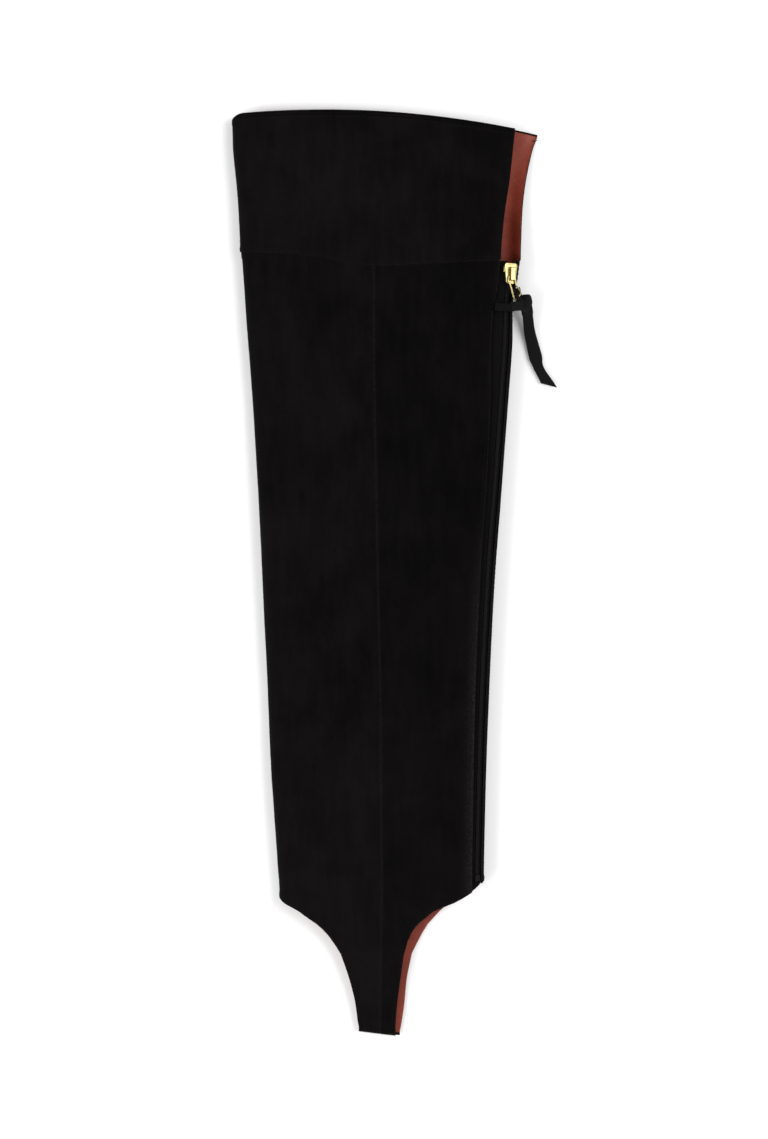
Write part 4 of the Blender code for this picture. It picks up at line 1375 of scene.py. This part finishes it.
def strap_line(side, field, aside):
    """Points beside a long edge of the strap, on its outer side."""
    points = []
    for i in range(22):
        y = mix(STRAP_ROOT_Y + 1.0, STRAP_ROLL_Y, i / 21)
        x = STRAP_CURVES[field](y) + aside
        section = LegSection(y)
        reach = section.over if side == "near" else section.under
        points.append(strap_tilt(reach(x, -SEWN_OUT)))
    return points


# Finishes

class Finish:
    """A node material being made: short calls for the nodes that the finishes share."""

    def __init__(self, name):
        self.material = bpy.data.materials.new(name)
        self.material.use_nodes = True
        self.tree = self.material.node_tree
        self.shader = self.tree.nodes["Principled BSDF"]
        self.place = self.node("ShaderNodeTexCoord").outputs["Object"]

    def node(self, kind, **settings):
        node = self.tree.nodes.new(kind)
        for key, value in settings.items():
            setattr(node, key, value)
        return node

    def feed(self, socket, value):
        if isinstance(value, bpy.types.NodeSocket):
            self.tree.links.new(value, socket)
        else:
            socket.default_value = value

    def streaks(self, scale, detail, rough, turn=(0.0, 0.0, 0.0)):
        """Noise on its own scale along each axis."""
        mapping = self.node("ShaderNodeMapping")
        self.feed(mapping.inputs["Vector"], self.place)
        mapping.inputs["Scale"].default_value = scale
        mapping.inputs["Rotation"].default_value = turn
        return self.noise(1.0, detail, rough, where=mapping.outputs["Vector"])

    def axes(self):
        parts = self.node("ShaderNodeSeparateXYZ")
        self.feed(parts.inputs[0], self.place)
        return parts.outputs

    def tones(self, share, colour, low, high):
        """Colour that goes between two levels of one shade."""
        return self.blend(share, shade(colour, low), shade(colour, high))

    def noise(self, scale, detail, rough, where=None, warp=0.0):
        node = self.node("ShaderNodeTexNoise")
        self.feed(node.inputs["Vector"], where or self.place)
        node.inputs["Scale"].default_value = scale
        node.inputs["Detail"].default_value = detail
        node.inputs["Roughness"].default_value = rough
        node.inputs["Distortion"].default_value = warp
        return node.outputs["Fac"]

    def cells(self, scale, where=None, feature="F1", smooth=None):
        node = self.node("ShaderNodeTexVoronoi", feature=feature)
        self.feed(node.inputs["Vector"], where or self.place)
        node.inputs["Scale"].default_value = scale
        if smooth is not None:
            node.inputs["Smoothness"].default_value = smooth
        return node.outputs["Distance"]

    def math(self, operation, a, b=0.0):
        node = self.node("ShaderNodeMath", operation=operation)
        self.feed(node.inputs[0], a)
        self.feed(node.inputs[1], b)
        return node.outputs[0]

    def span(self, value, low, high, to_low=0.0, to_high=1.0):
        node = self.node("ShaderNodeMapRange")
        self.feed(node.inputs["Value"], value)
        for key, level in zip(("From Min", "From Max", "To Min", "To Max"), (low, high, to_low, to_high)):
            node.inputs[key].default_value = level
        return node.outputs["Result"]

    def blend(self, share, first, second):
        node = self.node("ShaderNodeMix", data_type="RGBA")
        self.feed(node.inputs[0], share)
        self.feed(node.inputs[6], first)
        self.feed(node.inputs[7], second)
        return node.outputs[2]

    def bump(self, height, strength, distance, under=None):
        node = self.node("ShaderNodeBump")
        node.inputs["Strength"].default_value = strength
        node.inputs["Distance"].default_value = distance
        self.feed(node.inputs["Height"], height)
        if under:
            self.feed(node.inputs["Normal"], under)
        return node.outputs["Normal"]

    def set(self, **values):
        names = {"colour": "Base Color", "rough": "Roughness", "metal": "Metallic",
                 "shine": "Specular IOR Level", "sheen": "Sheen Weight", "sheen_rough": "Sheen Roughness",
                 "sheen_tint": "Sheen Tint", "normal": "Normal"}
        for key, value in values.items():
            self.feed(self.shader.inputs[names[key]], value)
        return self.material


def shade(colour, level):
    """A colour made lighter or darker by a level, as a node colour."""
    return (*(min(1.0, part * level) for part in colour), 1.0)


def suede_finish(name, colour, level=1.0):
    """Brushed suede: soft patches of nap, faint streaks along the leg, a fine fibre bump, and painted light
    that is lighter towards the foot and the front fold and darker up the leg and towards the back.
    """
    finish = Finish(name)
    patches = finish.noise(26.0, 4.0, 0.55, warp=0.4)
    brushed = finish.streaks((190.0, 34.0, 190.0), 4.0, 0.6)
    flecks = finish.noise(900.0, 2.0, 0.6)
    fibres = finish.streaks((5200.0, 2300.0, 5200.0), 2.0, 0.7, (0.0, 0.0, 0.5))
    nap = finish.math("ADD", finish.math("MULTIPLY", patches, 0.5), finish.math("MULTIPLY", brushed, 0.3))
    nap = finish.math("ADD", nap, finish.math("MULTIPLY", flecks, 0.2))
    x, y, _ = finish.axes()
    # Painted light and shade: lighter towards the foot and the front fold, darker up the leg and towards the
    # back, as if lit from the lower left
    nap = finish.math("ADD", nap, finish.span(y, -0.27, -0.07, 0.085, -0.03))
    nap = finish.math("ADD", nap, finish.span(x, -0.07, 0.06, 0.03, -0.035))
    share = finish.span(nap, 0.36, 0.64)
    fine = finish.bump(fibres, 0.55, 0.00018)
    normal = finish.bump(finish.noise(420.0, 3.0, 0.6), 0.30, 0.0004, fine)
    nap_and_painted_light_colour = finish.tones(share, colour, 0.62 * level, 1.5 * level)
    # Lighter nap read from the mesh: scuffed cut edges, and the painted highlight beside the zip
    wear = finish.node("ShaderNodeAttribute", attribute_name="wear").outputs["Fac"]
    scuff_and_highlight = finish.math("MULTIPLY", wear, finish.span(flecks, 0.35, 0.6, 0.25, 1.0))
    return finish.set(colour=finish.blend(scuff_and_highlight, nap_and_painted_light_colour, shade(colour, 4.5)),
                      rough=finish.span(flecks, 0.3, 0.7, 0.86, 0.98), shine=0.022, sheen=0.022,
                      sheen_rough=0.42, sheen_tint=(0.92, 0.86, 0.86, 1.0), normal=normal)


def lining_finish(name, colour):
    """Smooth lining leather: fine pebbled grain, a soft shine, and painted shade that darkens the hollows of
    its creases and grain.
    """
    finish = Finish(name)
    grain = finish.cells(1500.0, feature="SMOOTH_F1", smooth=0.6)
    creases = finish.noise(60.0, 5.0, 0.6, warp=0.8)
    # Painted shade: darker where the crease and grain bumps are low, lighter on their crests
    tone_and_crease_shade = finish.span(finish.math("ADD", finish.math("MULTIPLY", creases, 0.7),
                                   finish.math("MULTIPLY", grain, 0.5)), 0.35, 0.85)
    fine = finish.bump(grain, 0.35, 0.00012)
    normal = finish.bump(creases, 0.25, 0.0006, fine)
    return finish.set(colour=finish.tones(tone_and_crease_shade, colour, 0.72, 1.45),
                      rough=finish.span(creases, 0.3, 0.7, 0.36, 0.52), shine=0.30, normal=normal)


def tape_finish(name, colour):
    """Woven zip tape: a fine herringbone of slanted ribs that turns back every few threads."""
    finish = Finish(name)
    x, y, _ = finish.axes()
    swing = finish.math("PINGPONG", finish.math("ADD", x, 1.0), 0.0011)
    slant = finish.math("ADD", y, swing)
    ribs = finish.math("SINE", finish.math("MULTIPLY", slant, math.tau / 0.00075))
    thread = finish.noise(1800.0, 2.0, 0.6)
    share = finish.span(finish.math("ADD", ribs, thread), -0.4, 1.6)
    normal = finish.bump(finish.math("ADD", ribs, finish.math("MULTIPLY", thread, 0.6)), 0.5, 0.00012)
    return finish.set(colour=finish.tones(share, colour, 0.55, 1.6), rough=0.88,
                      shine=0.04, sheen=0.02, sheen_rough=0.5, normal=normal)


def coil_finish(name, colour, level):
    """Moulded zip teeth: near black, half matt, a little dusty."""
    finish = Finish(name)
    dust = finish.noise(700.0, 3.0, 0.6)
    return finish.set(colour=finish.tones(finish.span(dust, 0.35, 0.7), colour, 0.9 * level, 1.9 * level),
                      rough=finish.span(dust, 0.3, 0.7, 0.45, 0.68), shine=0.06,
                      normal=finish.bump(dust, 0.2, 0.0001))


def gold_finish(name, colour):
    """Pale gold plating: bright, finely brushed, with faint rubs and a soft uneven tone."""
    finish = Finish(name)
    rubs = finish.streaks((260.0, 2600.0, 260.0), 4.0, 0.65, (0.0, 0.0, 0.4))
    cloud = finish.noise(240.0, 3.0, 0.5)
    share = finish.span(cloud, 0.38, 0.62)
    return finish.set(colour=finish.tones(share, colour, 1.04, 0.86), metal=1.0,
                      rough=finish.span(rubs, 0.3, 0.75, 0.26, 0.44), normal=finish.bump(rubs, 0.06, 0.00005))


def thong_finish(name, colour, level=1.0):
    """Leather thong: napped like the suede, with pores and a trace of wax on top; a level below 1 makes a
    darker copy that paints shade.
    """
    finish = Finish(name)
    pores = finish.cells(2100.0)
    fibre = finish.streaks((1600.0, 500.0, 1600.0), 3.0, 0.6)
    share = finish.span(finish.math("ADD", pores, fibre), 0.5, 1.2)
    normal = finish.bump(fibre, 0.4, 0.0002, finish.bump(pores, 0.3, 0.0001))
    return finish.set(colour=finish.tones(share, colour, 0.7 * level, 1.6 * level),
                      rough=finish.span(fibre, 0.3, 0.7, 0.66, 0.86), shine=0.06, sheen=0.03 * level,
                      sheen_rough=0.45, normal=normal)


def thread_finish(name, colour):
    """Waxed sewing thread with the slant of its plies."""
    finish = Finish(name)
    plies = finish.streaks((5200.0, 5200.0, 5200.0), 1.0, 0.5)
    return finish.set(colour=finish.tones(plies, colour, 0.7, 1.6), rough=0.7,
                      shine=0.05, normal=finish.bump(plies, 0.4, 0.0001))


def floor_finish(name, colour):
    finish = Finish(name)
    paper = finish.noise(90.0, 2.0, 0.5)
    return finish.set(colour=finish.tones(paper, colour, 0.995, 1.0), rough=0.9, shine=0.1)


# Pieces

def dress(piece, body, slot, *nodes):
    """The piece rides on a body and stands for its nodes, which it hides; the slot is not used."""
    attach(piece, body)
    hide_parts(*nodes)
    return piece


def found(name):
    """A material that another operator may have made already."""
    return bpy.data.materials.get(name)


def suede(context, part, level):
    name = f"brushed_suede_{part}"
    return found(name) or suede_finish(name, context.scene.gaiter_cloth.suede, level)


def lining(context):
    return found("lining_leather") or lining_finish("lining_leather", context.scene.gaiter_cloth.lining)


def thread(context):
    return found("sewing_thread") or thread_finish("sewing_thread", context.scene.gaiter_trim.thread)


class GAITER_OT_stage(bpy.types.Operator):
    """Makes the pale floor, the soft lights and the camera straight above"""
    bl_idname = "gaiter.stage"
    bl_label = "Stage"

    def execute(self, context):
        settings = context.scene.gaiter_stage
        deselect()
        bpy.ops.mesh.primitive_plane_add(size=FLOOR_SIZE, location=(0.0, 0.0, -FLOOR_DOWN))
        floor = context.active_object
        floor.name = "floor"
        bpy.ops.object.transform_apply(location=True, rotation=False, scale=True)
        floor.data.materials.append(floor_finish("floor_paper", settings.floor))
        for name, place, size, share in LIGHTS:
            lamp = bpy.data.lights.new(name, "AREA")
            lamp.shape, lamp.size, lamp.energy = "SQUARE", size, settings.light * share
            stand = bpy.data.objects.new(name, lamp)
            stand.location = place
            stand.rotation_euler = (-Vector(place)).to_track_quat("-Z", "Y").to_euler()
            context.scene.collection.objects.link(stand)
        world = bpy.data.worlds.new("studio")
        world.use_nodes = True
        sky = world.node_tree.nodes["Background"]
        sky.inputs["Color"].default_value = (1.0, 1.0, 1.0, 1.0)
        sky.inputs["Strength"].default_value = settings.sky
        context.scene.world = world
        data = bpy.data.cameras.new("camera")
        data.sensor_fit = "VERTICAL"
        data.sensor_height = SENSOR
        data.lens = data.sensor_height * (settings.height - FOCUS_HEIGHT) / settings.view_height
        camera = bpy.data.objects.new("camera", data)
        camera.location = (*VIEW_CENTRE, settings.height)
        context.scene.collection.objects.link(camera)
        context.scene.camera = camera
        context.scene.view_settings.view_transform = "Standard"
        return {"FINISHED"}


class GAITER_OT_thong(bpy.types.Operator):
    """Makes the leather thong: its tail, its short end and the tie that holds it to the ring"""
    bl_idname = "gaiter.thong"
    bl_label = "Thong"

    def execute(self, context):
        finish = thong_finish("thong_leather", context.scene.gaiter_trim.thong)
        width = Curve(TAIL_WIDTHS, "share", "width")
        tail = laid_strip("thong_tail", finish, TAIL_ROUTE, width, THONG_THICK, TAIL_TIP)
        dress(tail, "pull", "thong", "thong")
        tie = dress(build_tie(finish), "pull", "thong", "thong_knot")
        # Painted shade: the short end takes a darker copy of the thong's leather, at half its level
        shaded_thong = thong_finish("thong_flesh_side", context.scene.gaiter_trim.thong, 0.5)
        short = laid_strip("thong_short_end", shaded_thong, END_ROUTE, END_WIDTH, END_THICK)
        dress(short, "pull", "thong", "thong_end")
        route = [tuple(point * MM) for point in smooth_route(TAIL_ROUTE, ROUTE_STEPS)]
        length = sum((Vector(b) - Vector(a)).length for a, b in zip(route, route[1:]))
        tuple(route[0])
        return {"FINISHED"}


class GAITER_OT_leg(bpy.types.Operator):
    """Makes the three suede panels of the leg with their halves of the foot strap"""
    bl_idname = "gaiter.leg"
    bl_label = "Leg panels"

    def execute(self, context):
        cloth = context.scene.gaiter_cloth
        layer = Layer(0.0, SUEDE, 0.42, cloth.ripple, cloth.turned)
        step, half = cloth.grid, SEAM_GAP
        rows = round(LEG_LENGTH / step)
        front = list(reversed(near_front(half, step))) + front_bend(10) + far_front(half, step)
        near = near_back(ZIP_CURVES["near_edge"], half, step)
        far = back_bend(ZIP_CURVES["far_edge"], step) + far_back(half, step)
        for name, columns, node, flat, area, level in (
                ("suede_front", front, "front_panel", (0.20, 0.51), 0.072, 1.0),
                ("suede_back_near", near, "back_panel_near", (0.083, 0.51), 0.030, 0.8),
                ("suede_back_far", far, "back_panel_far", (0.105, 0.51), 0.038, 0.8)):
            finish = suede(context, "front" if node == "front_panel" else "back", level)
            panel = dress(leg_wall(name, finish, columns, layer, rows), "gaiter", "suede", node)
        return {"FINISHED"}


class GAITER_OT_band(bpy.types.Operator):
    """Makes the suede band round the thigh and the binding of its top edge"""
    bl_idname = "gaiter.band"
    bl_label = "Band"

    def execute(self, context):
        cloth = context.scene.gaiter_cloth
        inner = BAND_SUEDE + LAYER_GAP + LINING
        below = BINDING_DEPTH + SEAM_GAP
        columns = band_columns(0.0, cloth.grid)
        body = BandLayer(0.0, BAND_SUEDE, 0.4, 0.3, cloth.ripple, cloth.turned, 0.0, 0.0)
        finish = suede(context, "band", 1.1)
        rows = round(BAND_LENGTH / cloth.grid)
        band = band_wall("suede_band", finish, columns, body, below, 0.0, rows)
        dress(band, "gaiter", "suede", "band")
        edge = BandLayer(0.0, BAND_SUEDE + 0.3, 0.35, 1.1, 0.12, 0.0, inner, BINDING_PROUD)
        binding = band_wall("suede_binding", finish, columns, edge, 0.0, BINDING_DEPTH, 4)
        dress(binding, "gaiter", "suede", "top_binding")
        return {"FINISHED"}


class GAITER_OT_linings(bpy.types.Operator):
    """Makes the leather linings of the leg and of the band"""
    bl_idname = "gaiter.linings"
    bl_label = "Linings"

    def execute(self, context):
        cloth = context.scene.gaiter_cloth
        depth = SUEDE + LAYER_GAP
        step = cloth.grid * 1.7
        layer = Layer(depth, depth + LINING, 0.4, 0.0, 0.0)
        near_edge = moved(ZIP_CURVES["near_edge"], -TAPE_UNDER - GAP)
        far_edge = moved(ZIP_CURVES["far_edge"], TAPE_UNDER + GAP)
        columns = near_back(near_edge, 0.0, step, creased=False)
        columns += list(reversed(near_front(0.0, step, creased=False)))[1:]
        columns += front_bend(9) + far_front(0.0, step)
        columns += list(reversed(far_back(0.0, step)))[1:] + list(reversed(back_bend(far_edge, step)))
        leg = leg_wall("lining_leg", lining(context), joined_lining(columns), layer, round(LEG_LENGTH / step))
        dress(leg, "gaiter", "lining", "leg_lining")
        depth = BAND_SUEDE + LAYER_GAP
        body = BandLayer(depth, depth + LINING, 0.35, 0.2, 0.10, 0.0, 0.0, 0.0)
        band = band_wall("lining_band", lining(context), band_columns(LINING_INSET, cloth.grid), body,
                         LINING_DOWN, 0.0, round(BAND_LENGTH / cloth.grid))
        dress(band, "gaiter", "lining", "band_lining")
        return {"FINISHED"}


def joined_lining(columns):
    """The lining is one wall, so its columns have no free edge at the side seams."""
    joined_columns = []
    for column in columns:
        if column.in_strap:
            inset = strap_side_inset(column)
        elif column.bend == "back":
            inset = column.inset
        else:
            inset = zip_side_inset(column)
        joined_columns.append(column._replace(inset=inset))
    return joined_columns


def strap_side_inset(column):
    fields = ("near_left", "near_right") if column.side == "near" else ("far_left", "far_right")

    def read(y):
        if y > STRAP_ROOT_Y:
            return FAR_AWAY
        x = column.place(y, 0.0).x
        return min(abs(x - STRAP_CURVES[field](y)) for field in fields)
    return read


def zip_side_inset(column):
    def read(y):
        if column.side == "far" or column.turn is not None:
            return FAR_AWAY
        return abs(column.place(y, 0.0).x - (ZIP_CURVES["near_edge"](y) - TAPE_UNDER - GAP))
    return read


class GAITER_OT_zip(bpy.types.Operator):
    """Makes the zip's two tapes, its interlocked teeth and its bottom stop"""
    bl_idname = "gaiter.zip"
    bl_label = "Zip"

    def execute(self, context):
        trim = context.scene.gaiter_trim
        chain, inside = ZIP_CURVES["chain"], CHAIN_HALF + GAP
        weave = tape_finish("zip_weave", trim.tape)
        depths = (SUEDE + LAYER_GAP, SUEDE + LAYER_GAP + TAPE_THICK)
        ends = (ZIP_TOP_Y, TAPE_END_Y)
        below_stop = ZIP_END_Y - 0.3
        near = (moved(ZIP_CURVES["near_edge"], -TAPE_UNDER),
                lambda y: chain(y) + mix(-inside, inside, smooth_step((below_stop - y) / 0.6)))
        far = (moved(chain, inside), moved(ZIP_CURVES["far_edge"], TAPE_UNDER))
        for name, edges, node, area in (("tape_near", near, "zip_tape_near", 0.0038),
                                        ("tape_far", far, "zip_tape_far", 0.0024)):
            tape = zip_strip(name, weave, edges, depths, ends, ZIP_STEP, 0.3, RIB_HIGH,
                             edge_curve(HEM_BACK_FAR))
            dress(tape, "gaiter", "zip_tape", node)
        coil = coil_finish("zip_teeth", trim.tape, 1.5)
        top, foot = SLIDER_Y + POST_FOOT - GAP, ZIP_END_Y + STOP_LENGTH + GAP
        cord = zip_strip("teeth_cord", coil, (moved(chain, -CHAIN_HALF + 0.2), moved(chain, CHAIN_HALF - 0.2)),
                         (CHAIN_HIGH + 0.5, CHAIN_LOW), (top, foot), ZIP_STEP, 0.4)
        tooth = block("tooth", (-1.15, -0.42, -0.75), (1.15, 0.42, 0.0))
        soften(tooth, 0.26, 1)
        count = int((top - foot) / (TOOTH_PITCH / 2))
        frames = [zip_frame(foot + 0.5 + i * TOOTH_PITCH / 2, CHAIN_HIGH,
                            TOOTH_ASIDE if i % 2 else -TOOTH_ASIDE) for i in range(count)]
        teeth = repeated("coil_chain", tooth, frames, coil)
        dress(joined("coil_chain", [teeth, cord]), "gaiter", "zip_chain", "zip_chain")
        stop = block("bottom_stop", (-CHAIN_HALF, -STOP_LENGTH / 2, -STOP_LOW),
                     (CHAIN_HALF, STOP_LENGTH / 2, -STOP_HIGH))
        edit(stop)
        round_edges(stop, lambda a, b: abs(a.z - b.z) > 1.0, 0.8, 4)
        round_edges(stop, lambda a, b: min(a.z, b.z) > -STOP_HIGH - 0.05, 0.4, 3)
        leave()
        set_down(stop, zip_frame(ZIP_END_Y + STOP_LENGTH / 2, 0.0), coil)
        dress(stop, "gaiter", "zip_chain", "zip_stop")
        return {"FINISHED"}


class GAITER_OT_slider(bpy.types.Operator):
    """Makes the gold slider and the wire ring through its eye"""
    bl_idname = "gaiter.slider"
    bl_label = "Slider and ring"

    def execute(self, context):
        gold = gold_finish("pale_gold_plate", context.scene.gaiter_trim.gold)
        dress(build_slider(gold), "gaiter", "gold", "zip_slider")
        dress(build_ring(gold), "pull", "gold", "pull_ring")
        return {"FINISHED"}


class GAITER_OT_stitches(bpy.types.Operator):
    """Sews the zip edges, the band's edge, the binding, the hem and the foot strap"""
    bl_idname = "gaiter.stitches"
    bl_label = "Stitches"

    def execute(self, context):
        trim = context.scene.gaiter_trim
        pitch = trim.stitch + trim.stitch_gap
        panels = {name: bpy.data.objects[name] for name in
                  ("suede_front", "suede_back_near", "suede_back_far", "suede_band", "suede_binding")}
        near_edge, far_edge = ZIP_CURVES["near_edge"], ZIP_CURVES["far_edge"]
        band = band_columns(0.0, SEWN_STEP)
        low = [column.place(band_low(column) + SEWN_BAND, -SEWN_OUT) for column in band]
        high = [column.place(rim(column) - BINDING_DEPTH + SEWN_BINDING, -1.0) for column in band]
        front = list(reversed(near_front(SEWN_SIDE, SEWN_STEP))) + front_bend(8)
        front += far_front(SEWN_SIDE, SEWN_STEP)
        back_near = near_back(near_edge, SEWN_SIDE, SEWN_STEP)
        back_far = back_bend(far_edge, SEWN_STEP) + far_back(SEWN_SIDE, SEWN_STEP)
        lines = (
            ("suede_back_near", zip_line(near_edge, -2.3)),
            ("suede_back_far", zip_line(far_edge, 2.1)),
            ("suede_band", low[1:-1]),
            ("suede_binding", high[1:-1]),
            ("suede_front", hem_line(front, SEWN_HEM)),
            ("suede_back_near", hem_line(back_near, SEWN_HEM)),
            ("suede_back_far", hem_line(back_far, SEWN_HEM)),
            ("suede_front", strap_line("near", "near_left", SEWN_SIDE)),
            ("suede_front", strap_line("far", "far_left", SEWN_SIDE)),
            ("suede_back_near", strap_line("near", "near_right", -SEWN_SIDE)),
            ("suede_back_far", strap_line("far", "far_right", -SEWN_SIDE)),
        )
        frames = []
        for name, line in lines:
            frames += sewn_frames(panels[name], line, pitch)
        stitches = repeated("stitches", stitch_pattern(trim.stitch, THREAD_WIDTH), frames, thread(context))
        for vert in stitches.data.vertices:
            vert.co.z = max(vert.co.z, 0.0)
        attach(stitches, "gaiter")
        return {"FINISHED"}


class GAITER_PT_panel(bpy.types.Panel):
    """Lists the settings and the makers of the gaiter's pieces"""
    bl_idname = "GAITER_PT_panel"
    bl_label = "Suede gaiter"
    bl_space_type = "VIEW_3D"
    bl_region_type = "UI"
    bl_category = "Gaiter"

    def draw(self, context):
        layout = self.layout
        for group in ("gaiter_stage", "gaiter_cloth", "gaiter_trim"):
            settings = getattr(context.scene, group)
            box = layout.box()
            for name in settings.bl_rna.properties.keys():
                if name not in {"rna_type", "name"}:
                    box.prop(settings, name)
        for maker in MAKERS:
            layout.operator(maker.bl_idname)


SETTINGS = (GaiterCloth, GaiterTrim, GaiterStage)
MAKERS = (GAITER_OT_stage, GAITER_OT_thong, GAITER_OT_leg, GAITER_OT_band, GAITER_OT_linings,
          GAITER_OT_zip, GAITER_OT_slider, GAITER_OT_stitches)


CLASSES = (*SETTINGS, *MAKERS, GAITER_PT_panel)


def register():
    for item in CLASSES:
        bpy.utils.register_class(item)
    bpy.types.Scene.gaiter_cloth = PointerProperty(type=GaiterCloth)
    bpy.types.Scene.gaiter_trim = PointerProperty(type=GaiterTrim)
    bpy.types.Scene.gaiter_stage = PointerProperty(type=GaiterStage)


def unregister():
    del bpy.types.Scene.gaiter_stage
    del bpy.types.Scene.gaiter_trim
    del bpy.types.Scene.gaiter_cloth
    for item in reversed(CLASSES):
        bpy.utils.unregister_class(item)


def main():
    register()
    bpy.ops.gaiter.stage()
    bpy.ops.gaiter.thong()
    bpy.ops.gaiter.leg()
    bpy.ops.gaiter.band()
    bpy.ops.gaiter.linings()
    bpy.ops.gaiter.zip()
    bpy.ops.gaiter.slider()
    bpy.ops.gaiter.stitches()


if __name__ == "__main__":
    main()
